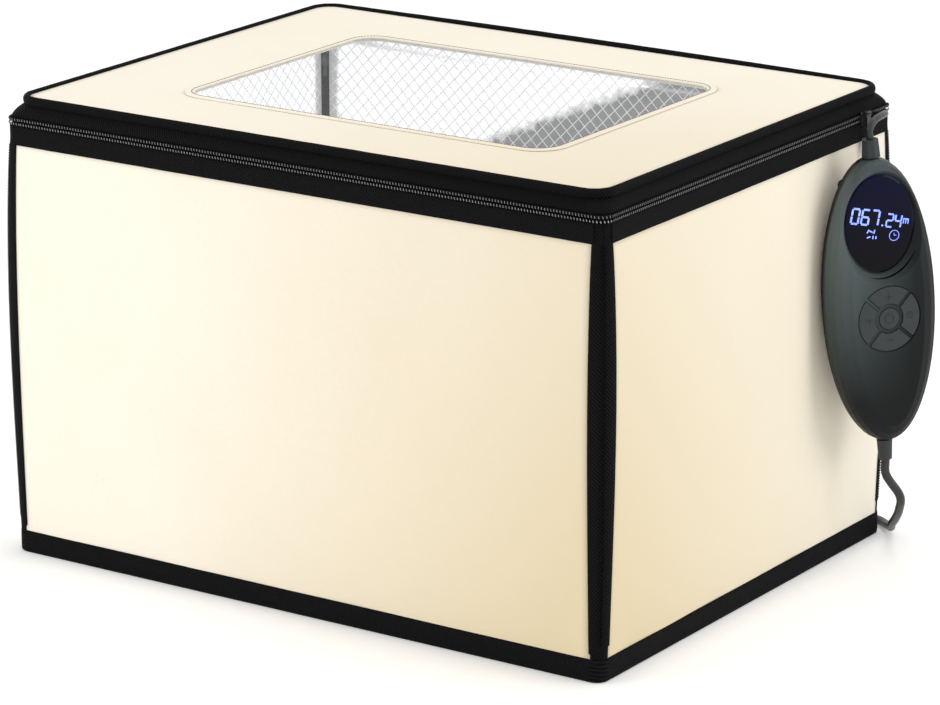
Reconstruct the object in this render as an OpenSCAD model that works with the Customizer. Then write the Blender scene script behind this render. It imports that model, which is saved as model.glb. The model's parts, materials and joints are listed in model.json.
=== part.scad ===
// Folding dough proofer: a zipped cloth box on board panels, lined with foil, with a clear
// window in its lid, a heating mat on its floor and a hand controller on a cord.
// The origin is the centre of the base on the floor, the front faces -Y and +Z is up.

/* [Box] */
// Width of the box over its cloth, left to right
box_w = 394; // [340:1:460]
// Depth of the box over its cloth, front to back
box_d = 304; // [280:1:350]
// Height from the floor to the top of the lid
box_h = 266; // [240:1:290]
// Thickness of the stiff board inside each panel
board_t = 2; // [1.6:0.1:2.4]
// Thickness of the cream cloth on the outside
cloth_t = 0.5; // [0.3:0.1:0.7]
// Thickness of the quilted foil on the inside
foil_t = 0.5; // [0.3:0.1:0.7]
// Radius in plan of the four upright corners
corner_r = 6.5; // [6:0.5:9]

/* [Base] */
// Thickness of the floor board
floor_board_t = 3; // [2:0.5:5]
// Height of the bound edge round the base
binding_h = 13; // [11:0.5:16]
// Thickness of the bound edge
binding_t = 0.8; // [0.6:0.1:1.2]
// Height that the bound edge stands below the floor cloth
binding_lip = 0.4; // [0.2:0.1:0.8]
// Free height between panels that lie folded on each other
fold_gap = 0.5; // [0.3:0.1:1]

/* [Zips and band] */
// Height from the zip line up to the top of the lid
lid_h = 13; // [12:0.5:18]
// Height of the woven band below the zip line
band_h = 13; // [10:0.5:18]
// Thickness of the zip tapes
tape_t = 0.6; // [0.4:0.1:0.8]
// Diameter of one coil row of the lid zip
lid_coil_d = 2; // [1.6:0.1:2.2]
// Diameter of one coil row of a corner zip
corner_coil_d = 1.6; // [1.4:0.1:1.8]
// Free width between two closed coil rows
coil_gap = 0.4; // [0.3:0.05:0.6]
// Width of corner zip tape that shows flat beside the corner
corner_tape_w = 2.5; // [1.5:0.5:5]

/* [Lid] */
// Distance that the lid's rim stands in from the walls
rim_inset = 3; // [1:0.5:5]
// Diameter of the piping round the lid
rim_d = 4; // [3:0.5:5]
// Radius in plan of the piping at the lid's corners
rim_r = 12; // [8:1:30]
// Thickness of the lid's skirt with its tape
skirt_t = 1.4; // [1:0.1:2]
// Width of the window
window_w = 240; // [180:1:290]
// Depth of the window
window_d = 178; // [120:1:205]
// Corner radius of the window
window_r = 14; // [8:1:40]
// Width of the sewn hem round the window
hem_w = 5; // [3:0.5:8]
// Thickness of the sewn hem
hem_t = 0.5; // [0.3:0.1:0.8]
// Thickness of the clear window film
film_t = 0.5; // [0.3:0.1:0.8]
// Width of film sewn under the hem
film_lap = 7; // [4:0.5:10]

/* [Heating mat] */
// Width of the mat
mat_w = 290; // [200:5:320]
// Depth of the mat
mat_d = 210; // [160:5:220]
// Thickness of each of the mat's two sheets
mat_sheet_t = 1.1; // [0.8:0.1:1.5]
// Height of the space between the sheets
mat_core_h = 1; // [0.8:0.1:1.4]
// Corner radius of the mat
mat_r = 15; // [8:1:25]
// Width of the welded edge of the mat
mat_weld = 8; // [5:1:12]
// Width of the heating track
track_w = 3; // [2:0.5:4]
// Number of straight runs in the heating track
track_runs = 10; // [6:2:14]

/* [Controller] */
// Length of the controller's housing
ctrl_l = 165; // [150:1:180]
// Width of the housing
ctrl_w = 66; // [60:1:74]
// Height of the front shell above the parting line
ctrl_front_h = 14; // [13:0.5:16]
// Depth of the rear shell below the parting line
ctrl_rear_h = 11.5; // [10:0.5:14]
// Wall thickness of the shells
shell_t = 2; // [1.6:0.1:2.4]
// Turn of the controller away from the front of the box, in degrees
ctrl_turn = 55; // [50:1:62]
// Lean of the controller, in degrees
ctrl_lean = 4.5; // [0:0.5:7]
// Distance of the controller's axis from the back of the box
ctrl_in = 56; // [50:1:80]
// Distance of the controller's middle below the top of the lid
ctrl_drop = 109; // [104:1:120]
// Free space between the controller and the wall it leans on
ctrl_seat_gap = 0.3; // [0.2:0.1:0.6]
// Width of the display lens
lens_w = 42; // [36:1:46]
// Length of the display lens
lens_l = 56; // [48:1:58]
// Thickness of the display lens
lens_t = 2; // [1.5:0.1:3]
// Radius of the ring of keys
pad_r = 18.5; // [16:0.5:20]
// Radius of the power key
power_r = 6; // [5:0.5:7]
// Width of the ring between the power key and the others
pad_ring = 2.6; // [2.4:0.1:4]
// Width of the gaps between the four outer keys
key_space = 2.2; // [2:0.1:4]
// Free space round each key
key_clear = 0.3; // [0.2:0.05:0.4]
// Height that a key stands above its pad
key_stand = 0.4; // [0.2:0.1:0.7]
// Stroke of a key
key_stroke = 0.8; // [0.5:0.1:1]
// Width of the lip that keeps a key in
key_lip = 0.7; // [0.4:0.1:0.8]

/* [Cords] */
// Diameter of the mains cord
cord_d = 5; // [4.5:0.1:5.5]
// Diameter of the heater lead
lead_d = 4; // [3.5:0.1:4.4]
// Distance of the lead's exit from the back of the box
lead_in = 24; // [18:1:32]
// Loops in the coil of stored cord
coil_turns = 7.5; // [4.5:1:8.5]
// Free space between loops of the coil
loop_gap = 0.6; // [0.6:0.05:0.8]
// Straight cord between the coil and the plug
plug_tail = 22; // [20:1:40]
// Length of the mains plug's body
plug_l = 26; // [22:1:34]
// Width of the mains plug's body
plug_w = 25; // [22:1:30]
// Length of the plug's blades
blade_l = 17.5; // [16:0.5:19]
// Distance between the blades
blade_pitch = 12.7; // [12:0.1:13.5]

/* [Hidden] */
$fn = 48;

FRONT = 0;
RIGHT = 1;
BACK = 2;
LEFT = 3;
eps = 0.01;
cream = [0.93, 0.87, 0.74];
black = [0.07, 0.07, 0.07];
foil = [0.82, 0.83, 0.85];
dark = [0.16, 0.17, 0.18];

wall_t = cloth_t + board_t + foil_t;
floor_cloth_z = binding_lip;
floor_board_z = floor_cloth_z + cloth_t;
floor_foil_z = floor_board_z + floor_board_t;
mat_z = floor_foil_z + foil_t;
gland_h = mat_core_h + 2 * mat_sheet_t + 1.6;
gland_top = mat_z + gland_h;
left_fold_z = gland_top + fold_gap + wall_t / 2;
front_fold_z = left_fold_z + wall_t + fold_gap;
right_fold_z = front_fold_z + wall_t + fold_gap;
back_foot_z = floor_foil_z;
zip_z = box_h - lid_h;
row_offset = (lid_coil_d + coil_gap) / 2;
zip_half = row_offset + lid_coil_d / 2 + 0.3;
wall_top = zip_z - zip_half;
band_low = zip_z - band_h;
rim_x = box_w / 2 - rim_inset - rim_d / 2;
rim_y = box_d / 2 - rim_inset - rim_d / 2;
seat = 0.05;
ctrl_y = box_d / 2 - ctrl_in;
ctrl_z = box_h - ctrl_drop;
lead_y = box_d / 2 - lead_in;

// Side i runs along local X with its outer face at y = 0 and its inside towards +Y.
function side_len(i) = i % 2 == 0 ? box_w : box_d;
function side_off(i) = i % 2 == 0 ? box_d / 2 : box_w / 2;
function panel_half(i) = side_len(i) / 2 - corner_r;
function fold_z(i) = i == LEFT ? left_fold_z : i == FRONT ? front_fold_z : right_fold_z;
function panel_foot(i) = i == BACK ? back_foot_z : fold_z(i) + wall_t / 2 + fold_gap;
function rail_top(i) = fold_z(i) - wall_t / 2 - fold_gap;

module at_side(i) {
  rotate([0, 0, 90 * i]) translate([0, -side_off(i), 0]) children();
}

// A rounded rectangle with true arcs at its corners.
module rounded(w, d, r, fn = 48) {
  square([w - 2 * r, d], center = true);
  square([w, d - 2 * r], center = true);
  for (x = [-1, 1], y = [-1, 1])
    translate([x * (w / 2 - r), y * (d / 2 - r)]) circle(r, $fn = fn);
}

module plate(w, d, r, z, t) {
  translate([0, 0, z]) linear_extrude(t) rounded(w, d, r);
}

module frame_plate(w, d, r, in_w, in_d, in_r, z, t) {
  translate([0, 0, z]) linear_extrude(t) difference() {
    rounded(w, d, r);
    rounded(in_w, in_d, in_r);
  }
}

// Base

module base_board() {
  color("burlywood")
  plate(box_w - 2 * cloth_t, box_d - 2 * cloth_t, corner_r - cloth_t, floor_board_z, floor_board_t);
}

// Low strips of board under the three folding walls carry their fold lines.
module base_rails() {
  color("burlywood") for (i = [FRONT, RIGHT, LEFT]) at_side(i)
    translate([-panel_half(i), cloth_t, floor_foil_z])
    cube([2 * panel_half(i), board_t, rail_top(i) - floor_foil_z]);
}

module base_cover() {
  color(cream) {
    plate(box_w, box_d, corner_r, floor_cloth_z, cloth_t);
    for (i = [FRONT, RIGHT, LEFT]) at_side(i)
      translate([-panel_half(i), 0, floor_board_z])
      cube([2 * panel_half(i), cloth_t, rail_top(i) - floor_board_z]);
  }
}

module base_binding() {
  color(black)
  frame_plate(box_w + 2 * binding_t, box_d + 2 * binding_t, corner_r + binding_t,
    box_w, box_d, corner_r, 0, binding_h);
}

module floor_lining() {
  inner = cloth_t + board_t;
  color(foil) {
    translate([0, 0, floor_foil_z]) linear_extrude(foil_t)
    square([box_w - 2 * wall_t, box_d - 2 * wall_t], center = true);
    for (i = [FRONT, RIGHT, LEFT]) at_side(i)
      translate([-panel_half(i), inner, mat_z])
      cube([2 * panel_half(i), foil_t, rail_top(i) - mat_z]);
  }
}

// Heating mat

module mat_lower_sheet() {
  color("dimgray") {
    plate(mat_w, mat_d, mat_r, mat_z, mat_sheet_t);
    frame_plate(mat_w, mat_d, mat_r, mat_w - 2 * mat_weld, mat_d - 2 * mat_weld, mat_r - mat_weld / 2,
      mat_z + mat_sheet_t, mat_core_h);
  }
}

module mat_upper_sheet() {
  color("dimgray") plate(mat_w, mat_d, mat_r, mat_z + mat_sheet_t + mat_core_h, mat_sheet_t);
}

// One flat track that runs to and fro between the sheets.
track_margin = mat_weld + 4;
track_pitch = (mat_d - 2 * track_margin - track_w) / (track_runs - 1);
track_run = mat_w - 2 * track_margin - track_pitch - track_w;
track_first = -(track_runs - 1) * track_pitch / 2;
track_turn_steps = 12;
// One edge of the zigzag, side 1 on the left of the way it runs and -1 on the right.
function track_edge(side) = concat(
  [[-track_run / 2, track_first + side * track_w / 2]],
  [for (k = [0 : track_runs - 2])
    let (way = k % 2 == 0 ? 1 : -1, r = track_pitch / 2 - side * way * track_w / 2)
    for (j = [0 : track_turn_steps])
    let (a = -90 + 180 * j / track_turn_steps)
      [way * (track_run / 2 + r * cos(a)), track_first + (k + 0.5) * track_pitch + r * sin(a)]],
  [[(track_runs % 2 == 0 ? -1 : 1) * track_run / 2,
    -track_first + side * (track_runs % 2 == 0 ? -1 : 1) * track_w / 2]]
);
function reversed(list) = [for (i = [len(list) - 1 : -1 : 0]) list[i]];
module heating_track() {
  color("indianred") translate([0, 0, mat_z + mat_sheet_t]) linear_extrude(mat_core_h)
    polygon(concat(track_edge(1), reversed(track_edge(-1))));
}

// The moulded block where the lead enters the mat's back edge.
gland_w = 24;
gland_l = 14;
gland_x = mat_w / 2 - mat_r - gland_w / 2;
module mat_gland() {
  color(dark) translate([gland_x, mat_d / 2 + seat, mat_z]) difference() {
    union() {
      translate([-gland_w / 2, 0, 0]) cube([gland_w, gland_l - gland_h / 2, gland_h]);
      translate([-gland_w / 2, gland_l - gland_h / 2, gland_h / 2])
        rotate([0, 90, 0]) cylinder(h = gland_w, d = gland_h);
    }
    translate([0, gland_l / 2, gland_h / 2]) rotate([-90, 0, 0]) cylinder(h = gland_l, d = lead_d + 2 * seat);
  }
}

// Wall panels

module panel(i, y, t) {
  at_side(i) translate([-panel_half(i), y, panel_foot(i)])
    cube([2 * panel_half(i), t, wall_top - panel_foot(i)]);
}

module wall_board(i) {
  color("burlywood") panel(i, cloth_t, board_t);
}

module wall_cover(i) {
  color(cream) panel(i, 0, cloth_t);
}

module wall_lining(i) {
  color(foil) panel(i, cloth_t + board_t, foil_t);
}

// The upright corners are quarter rounds, and each wall has half of one at either end.
half_turn_a = 44;
corner_row_a = asin((corner_coil_d + coil_gap) / 2 / (corner_r + tape_t / 2));
corner_tape_a = 45 - 2 * corner_row_a - 1;

// The plan of one side's strip of cloth, t thick, which runs a degrees round both corners.
module strip_plan(i, t, a) {
  reach = 2 * corner_r;
  half = panel_half(i);
  intersection() {
    translate([0, side_off(i)]) difference() {
      rounded(side_len(i) + 2 * t, 2 * side_off(i) + 2 * t, corner_r + t);
      rounded(side_len(i), 2 * side_off(i), corner_r);
    }
    polygon([[-half, corner_r], [half, corner_r],
      [half + reach * tan(a), corner_r - reach], [-half - reach * tan(a), corner_r - reach]]);
  }
}

// The woven band below the zip line, round to the middle of both corners.
module band_strip(i, z, h, t) {
  at_side(i) translate([0, 0, z]) linear_extrude(h) strip_plan(i, t, half_turn_a);
}

module corner_tapes(i, z, h) {
  inner = panel_half(i) - corner_tape_w;
  at_side(i) translate([0, 0, z]) linear_extrude(h) difference() {
    strip_plan(i, tape_t, corner_tape_a);
    translate([-inner, -corner_r]) square([2 * inner, 3 * corner_r]);
  }
}

module wall_tape(i) {
  color(black) {
    if (i != BACK) band_strip(i, band_low, zip_z - zip_half - band_low + 0.3 - seat, tape_t);
    corner_tapes(i, binding_h + seat, band_low - binding_h - (i == BACK ? 2 * seat : seat));
  }
}

// A straight coil row at the middle of the tape's edge, and a round turn at one of its ends.
module coil_row(i, z, d) {
  at_side(i) translate([0, -tape_t / 2, z]) rotate([0, 90, 0])
    cylinder(h = 2 * panel_half(i) - 4 * eps, d = d, center = true, $fn = 24);
}

module coil_turn(i, end, z, d, a) {
  at_side(i) translate([end * panel_half(i), corner_r, z])
    rotate([0, 0, end > 0 ? -90 : -90 - a]) rotate_extrude(angle = a)
    translate([corner_r + tape_t / 2, 0]) circle(d = d, $fn = 24);
}

module corner_rows(i) {
  at_side(i) for (end = [-1, 1]) translate([end * panel_half(i), corner_r, binding_h + 2 * seat])
    rotate([0, 0, -90 + end * (45 - corner_row_a)]) translate([corner_r + tape_t / 2, 0, 0])
    cylinder(h = band_low - binding_h - 3 * seat, d = corner_coil_d, $fn = 24);
}

// The right side's rows stop short of the heater lead, which leaves through them.
module lead_way() {
  translate([box_w / 2, lead_y, zip_z]) rotate([0, 90, 0])
    cylinder(h = 20, d = lead_d + 1.2, center = true);
}

module wall_coil(i) {
  color("silver") {
    corner_rows(i);
    if (i != BACK) difference() {
      union() {
        coil_row(i, zip_z - row_offset, lid_coil_d);
        for (end = [-1, 1]) coil_turn(i, end, zip_z - row_offset, lid_coil_d, half_turn_a);
      }
      if (i == RIGHT) lead_way();
    }
  }
}

module back_board() wall_board(BACK);
module back_cover() wall_cover(BACK);
module back_lining() wall_lining(BACK);
module back_zip_tape() wall_tape(BACK);
module back_zip_coil() wall_coil(BACK);
module front_board() wall_board(FRONT);
module front_cover() wall_cover(FRONT);
module front_lining() wall_lining(FRONT);
module front_zip_tape() wall_tape(FRONT);
module front_zip_coil() wall_coil(FRONT);
module left_board() wall_board(LEFT);
module left_cover() wall_cover(LEFT);
module left_lining() wall_lining(LEFT);
module left_zip_tape() wall_tape(LEFT);
module left_zip_coil() wall_coil(LEFT);
module right_board() wall_board(RIGHT);
module right_cover() wall_cover(RIGHT);
module right_lining() wall_lining(RIGHT);
module right_zip_tape() wall_tape(RIGHT);
module right_zip_coil() wall_coil(RIGHT);

// Lid

lid_w = 2 * (rim_x - rim_d / 2);
lid_d = 2 * (rim_y - rim_d / 2);
lid_r = rim_r - rim_d / 2;
lid_foil_z = box_h - cloth_t - board_t - foil_t;

module lid_hinge_strip() {
  color(black) band_strip(BACK, band_low, zip_z + zip_half - band_low - seat, tape_t);
}

module lid_board() {
  color("burlywood")
  frame_plate(lid_w, lid_d, lid_r, window_w + 2 * film_lap + 1, window_d + 2 * film_lap + 1,
    window_r + film_lap, box_h - cloth_t - board_t, board_t);
}

module lid_cover() {
  color(cream)
  frame_plate(lid_w, lid_d, lid_r, window_w, window_d, window_r, box_h - cloth_t, cloth_t);
}

module lid_lining() {
  color(foil)
  frame_plate(lid_w, lid_d, lid_r, window_w, window_d, window_r, lid_foil_z, foil_t);
}

module window_film() {
  color("lightblue", 0.4)
  plate(window_w + 2 * film_lap, window_d + 2 * film_lap, window_r + film_lap,
    box_h - cloth_t - film_t, film_t);
}

module window_hem() {
  color(cream)
  frame_plate(window_w + 2 * hem_w, window_d + 2 * hem_w, window_r + hem_w,
    window_w, window_d, window_r, box_h, hem_t);
}

module rim_piping() {
  color(black) translate([0, 0, box_h - rim_d / 2]) {
    for (s = [-1, 1]) {
      translate([0, s * rim_y, 0]) rotate([0, 90, 0])
        cylinder(h = 2 * (rim_x - rim_r), d = rim_d, center = true, $fn = 32);
      translate([s * rim_x, 0, 0]) rotate([90, 0, 0])
        cylinder(h = 2 * (rim_y - rim_r), d = rim_d, center = true, $fn = 32);
    }
    for (k = [0 : 3]) {
      x = k == 0 || k == 3 ? 1 : -1;
      y = k < 2 ? 1 : -1;
      translate([x * (rim_x - rim_r), y * (rim_y - rim_r), 0]) rotate([0, 0, 90 * k])
        rotate_extrude(angle = 90) translate([rim_r, 0]) circle(d = rim_d, $fn = 32);
    }
  }
}

// The skirt leans in from the square walls below to the rounder rim above.
skirt_low = zip_z + zip_half;
skirt_high = box_h - rim_d - seat;
skirt_low_r = corner_r + 1.5;
module skirt_form(inset) {
  hull() {
    translate([0, 0, skirt_low - (inset > 0 ? eps : 0)]) linear_extrude(eps)
      rounded(box_w - 2 * inset, box_d - 2 * inset, skirt_low_r - inset, 32);
    translate([0, 0, skirt_high - (inset > 0 ? 0 : eps)]) linear_extrude(eps)
      rounded(2 * (rim_x + 1 - inset), 2 * (rim_y + 1 - inset), rim_r + 1 - inset, 32);
  }
}

module lid_skirt() {
  color(black) difference() {
    skirt_form(0);
    skirt_form(skirt_t);
  }
}

// The lid's own row runs round three sides, with its ends at the back corners.
module lid_zip_coil() {
  color("silver") difference() {
    union() {
      for (i = [FRONT, RIGHT, LEFT]) coil_row(i, zip_z + row_offset, lid_coil_d);
      for (end = [-1, 1]) coil_turn(FRONT, end, zip_z + row_offset, lid_coil_d, 90);
      coil_turn(RIGHT, 1, zip_z + row_offset, lid_coil_d, half_turn_a);
      coil_turn(LEFT, -1, zip_z + row_offset, lid_coil_d, half_turn_a);
    }
    lead_way();
  }
}

// Lid zip slider, on the right side just in front of the lead, and its pull tab

slider_l = 9;
slider_h = 8;
slider_plate_t = 1;
slider_y = lead_y - lead_d / 2 - slider_l / 2 - 4;
slider_x = box_w / 2 + tape_t / 2 + lid_coil_d / 2 + 0.4;
pull_pin_d = 1.2;
pull_x = slider_x + slider_plate_t + 1.6;
pull_z = zip_z + 3;
pull_l = 24;
pull_w = 4.2;

module lid_slider() {
  inner_x = box_w / 2 + tape_t / 2 - lid_coil_d / 2 - 0.3 - slider_plate_t;
  color("dimgray") translate([0, slider_y, 0]) {
    translate([slider_x, 0, zip_z]) rotate([0, 90, 0]) linear_extrude(slider_plate_t)
      rounded(slider_h, slider_l, 2);
    translate([inner_x, -slider_l / 2, zip_z + 0.3])
      cube([slider_plate_t, slider_l, zip_half - 0.5]);
    translate([inner_x, -slider_l / 2, zip_z - (coil_gap - 0.1) / 2])
      cube([slider_x - inner_x + eps, 2, coil_gap - 0.1]);
    translate([inner_x, -slider_l / 2, zip_z - (coil_gap - 0.1) / 2])
      cube([slider_plate_t, 2, 0.6]);
    for (s = [-1, 1]) translate([slider_x + slider_plate_t - eps, s * (pull_w / 2 + 0.9) - 0.5, pull_z - 1.4])
      cube([pull_x - slider_x - slider_plate_t + 1, 1, 2.8]);
    translate([pull_x, 0, pull_z]) rotate([90, 0, 0])
      cylinder(h = pull_w + 1.8, d = pull_pin_d, center = true, $fn = 24);
  }
}

module slider_pull() {
  color("dimgray") translate([pull_x, slider_y, pull_z]) difference() {
    union() {
      rotate([90, 0, 0]) cylinder(h = pull_w, d = 2.6, center = true, $fn = 32);
      translate([-0.7, -pull_w / 2, -pull_l + pull_w / 2]) cube([1.4, pull_w, pull_l - pull_w / 2]);
      translate([-0.7, 0, -pull_l + pull_w / 2]) rotate([0, 90, 0]) cylinder(h = 1.4, d = pull_w, $fn = 32);
    }
    rotate([90, 0, 0]) cylinder(h = pull_w + 1, d = pull_pin_d + 0.1, center = true, $fn = 24);
    translate([0, 0, -pull_l + pull_w / 2 + 0.4]) rotate([0, 90, 0])
      cylinder(h = 4, d = pull_w - 2.2, center = true, $fn = 24);
  }
}

// Corner zip sliders, on the inside of the corners, where they clear both walls' folds

corner_slider_s = corner_r - wall_t - 0.4;
corner_slider_h = 8;
corner_slider_z = band_low - corner_slider_h - 4;

module corner_slider(sx, sy) {
  p = wall_t + 0.2 + corner_slider_s / 2;
  color("dimgray") translate([sx * (box_w / 2 - p), sy * (box_d / 2 - p), corner_slider_z]) {
    difference() {
      translate([0, 0, corner_slider_h / 2])
        cube([corner_slider_s, corner_slider_s, corner_slider_h], center = true);
      translate([0, 0, corner_slider_h - 1.8]) rotate([90, 0, sx * sy * 45])
        cylinder(h = 10, d = 1.2, center = true, $fn = 20);
    }
    translate([0, 0, -6]) cylinder(h = 6 + eps, d = corner_slider_s * 0.7, $fn = 20);
    translate([0, 0, -6]) sphere(d = corner_slider_s * 0.85, $fn = 20);
  }
}

module corner_slider_fl() corner_slider(-1, -1);
module corner_slider_fr() corner_slider(1, -1);
module corner_slider_bl() corner_slider(-1, 1);
module corner_slider_br() corner_slider(1, 1);

// Controller, drawn face up with its length along Y, then hung beside the right wall

ctrl_x = box_w / 2 + ctrl_seat_gap + tape_t
  + ctrl_w / 2 * cos(ctrl_turn) + ctrl_rear_h * 0.55 * sin(ctrl_turn);

module at_controller() {
  translate([ctrl_x, ctrl_y, ctrl_z]) rotate([0, 0, ctrl_turn]) rotate([0, -ctrl_lean, 0])
    rotate([90, 0, 0]) children();
}

module oval(w, l, fn = 64) {
  scale([w / l, 1]) circle(d = l, $fn = fn);
}

// A crowned form through oval slices, each given as height and inset.
module crowned(slices, inset) {
  hull() for (s = slices)
    translate([0, 0, s[0]]) linear_extrude(eps) oval(ctrl_w - 2 * (s[1] + inset), ctrl_l - 2 * (s[1] + inset));
}

function front_slices(h) = [[0, 0], [0.4 * h, 0.5], [0.68 * h, 2.4], [0.86 * h, 6], [h - eps, 11]];
function rear_slices(h) = [[-eps, 0], [-0.45 * h, 0.8], [-0.75 * h, 3.4], [-h, 9]];

lens_y = ctrl_l / 2 - lens_l / 2 - 8;
lens_x = -1.5;
lens_z = ctrl_front_h - 5;
pad_y = -8;
pad_z = ctrl_front_h - 0.5;
shell_in_z = ctrl_front_h - shell_t;
screw_spots = [[-13, 66], [13, 66], [-13, -58], [13, -58]];
screw_d = 2.4;
board_z = 1;
pcb_t = 1.6;

module outer_key(a, grow) {
  r0 = power_r + pad_ring - grow;
  r1 = pad_r + grow;
  half = key_space / 2 - grow;
  rotate(a) intersection() {
    difference() {
      circle(r1);
      circle(r0);
    }
    translate([0, half * sqrt(2)]) rotate(45) square(2 * pad_r);
  }
}

relief_neck_d = 7;
relief_flange_d = relief_neck_d + 2;
relief_flange_t = 1.6;
flange_y = ctrl_l / 2 - 11.3;
module relief_notch(s) {
  rotate([-90 * s, 0, 0]) {
    translate([0, 0, flange_y - 2 * seat]) cylinder(h = relief_flange_t + 4 * seat, d = relief_flange_d + 4 * seat);
    translate([0, 0, flange_y]) cylinder(h = ctrl_l / 2 - flange_y + 4, d = relief_neck_d + 2 * seat);
  }
}

module controller_front_shell() {
  color(dark) at_controller() difference() {
    union() {
      difference() {
        crowned(front_slices(ctrl_front_h), 0);
        translate([0, 0, -eps]) crowned(front_slices(shell_in_z), shell_t);
      }
      intersection() {
        crowned(front_slices(ctrl_front_h), 0.2);
        translate([lens_x, lens_y, lens_z - shell_t]) linear_extrude(ctrl_front_h)
          oval(lens_w + 8, lens_l + 6);
      }
      for (p = screw_spots) translate([p[0], p[1], board_z + pcb_t + 0.4])
        cylinder(h = shell_in_z - board_z - pcb_t, d = 5);
    }
    hull() {
      translate([lens_x, lens_y, lens_z]) linear_extrude(eps) oval(lens_w + 2 * key_clear, lens_l + 2 * key_clear);
      translate([lens_x, lens_y, lens_z + lens_t]) linear_extrude(eps)
        oval(lens_w + 2 * key_clear, lens_l + 2 * key_clear);
      translate([lens_x + 1.5, lens_y - 1, ctrl_front_h + 1]) linear_extrude(eps) oval(lens_w + 12, lens_l + 12);
    }
    translate([lens_x, lens_y, lens_z - 2 * shell_t]) linear_extrude(4 * shell_t) oval(lens_w - 8, lens_l - 10);
    translate([0, pad_y, pad_z]) cylinder(h = 4, r = pad_r + key_clear + 0.5, $fn = 96);
    translate([0, pad_y, 0]) linear_extrude(2 * ctrl_front_h) {
      circle(power_r + key_clear);
      for (a = [0 : 90 : 270]) outer_key(a, key_clear);
    }
    for (p = screw_spots) translate([p[0], p[1], -eps]) cylinder(h = lens_z, d = screw_d + 0.1, $fn = 24);
    for (s = [-1, 1]) relief_notch(s);
  }
}

module controller_rear_shell() {
  color(dark) at_controller() difference() {
    union() {
      difference() {
        crowned(rear_slices(ctrl_rear_h), 0);
        translate([0, 0, eps]) crowned(rear_slices(ctrl_rear_h - shell_t), shell_t);
      }
      for (p = screw_spots) translate([p[0], p[1], -ctrl_rear_h + 1])
        cylinder(h = ctrl_rear_h - 1 + board_z - seat, d = 6.5);
    }
    for (p = screw_spots) translate([p[0], p[1], -ctrl_rear_h - 1]) {
      cylinder(h = ctrl_rear_h + 6, d = screw_d + 0.2, $fn = 24);
      cylinder(h = 3.5, d = 2 * screw_d + 0.4, $fn = 32);
    }
    for (s = [-1, 1]) relief_notch(s);
  }
}

// Smoked lens with a slight crown, let into its pocket.
module display_lens() {
  color("black") at_controller() translate([lens_x, lens_y, lens_z + eps]) hull() {
    linear_extrude(lens_t - 0.7) oval(lens_w, lens_l);
    translate([0, 0, lens_t - 0.3]) linear_extrude(eps) oval(lens_w - 2, lens_l - 2);
    translate([0, 0, lens_t]) linear_extrude(eps) oval(lens_w - 12, lens_l - 14);
  }
}

// Board with its key switches, display and driver block.
module circuit_board() {
  display_l = 24;
  display_w = 26;
  block_h = 5;
  switch_top = pad_z + key_stand - key_depth - key_stroke - 0.2;
  color("darkgreen") at_controller() translate([0, 0, board_z]) difference() {
    union() {
      linear_extrude(pcb_t) oval(ctrl_w - 12, ctrl_l - 26);
      translate([lens_x, lens_y, pcb_t - eps]) linear_extrude(lens_z - board_z - pcb_t - 0.3)
        square([display_w, display_l], center = true);
      translate([0, pad_y, pcb_t - eps]) {
        cylinder(h = switch_top - board_z - pcb_t, d = 5);
        for (a = [0 : 90 : 270]) rotate(a) translate([0, (power_r + pad_ring + pad_r) / 2, 0])
          cylinder(h = switch_top - board_z - pcb_t, d = 5);
      }
      translate([-8, -52, pcb_t - eps]) cube([16, 16, block_h]);
    }
    for (p = screw_spots) translate([p[0], p[1], -1]) cylinder(h = 8, d = screw_d + 0.6, $fn = 24);
    for (p = screw_spots) translate([p[0], p[1], pcb_t]) cylinder(h = 12, d = 6, $fn = 24);
  }
}

// Each key has a lip under the shell, which keeps it in, and stands just above its pad.
key_depth = key_stand + pad_z - shell_in_z + key_clear + 1.1;

module key(lip_h = 1.1) {
  translate([0, pad_y, pad_z + key_stand - key_depth]) {
    linear_extrude(lip_h) children(1);
    linear_extrude(key_depth) children(0);
  }
}

module power_button() {
  color(dark) at_controller() key() {
    circle(power_r);
    circle(power_r + key_lip);
  }
}

module outer_button(a) {
  color(dark) at_controller() key() {
    outer_key(a, 0);
    outer_key(a, key_lip);
  }
}

module plus_button() outer_button(0);
module unit_button() outer_button(90);
module minus_button() outer_button(180);
module timer_button() outer_button(270);

// Moulded reliefs, each with a neck in the parting line and a flange inside.
relief_top_l = 10;
relief_low_l = 12;

module relief(len, d, tip, sides, bore) {
  rotate([-90, 0, 0]) difference() {
    union() {
      translate([0, 0, flange_y]) cylinder(h = relief_flange_t, d = relief_flange_d);
      translate([0, 0, flange_y]) cylinder(h = ctrl_l / 2 - flange_y + 1, d = relief_neck_d);
      translate([0, 0, ctrl_l / 2 + 0.3]) cylinder(h = len - 0.3, d1 = d, d2 = tip, $fn = sides);
    }
    translate([0, 0, flange_y - 1]) cylinder(h = ctrl_l + len, d = bore + 2 * seat, $fn = 32);
  }
}

module strain_reliefs() {
  color(dark) at_controller() {
    relief(relief_top_l, 11, 9.4, 8, lead_d);
    rotate([0, 0, 180]) relief(relief_low_l, 9, 7.6, 32, cord_d);
  }
}

module housing_screws() {
  color("silver") at_controller() for (p = screw_spots)
    translate([p[0], p[1], -ctrl_rear_h + 0.8]) difference() {
      union() {
        cylinder(h = 1.6, d = 2 * screw_d, $fn = 32);
        cylinder(h = ctrl_rear_h + 3.6, d = screw_d, $fn = 24);
      }
      translate([0, 0, -eps]) cylinder(h = 0.9, d = 1.6, $fn = 6);
    }
}

// Cords

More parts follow.
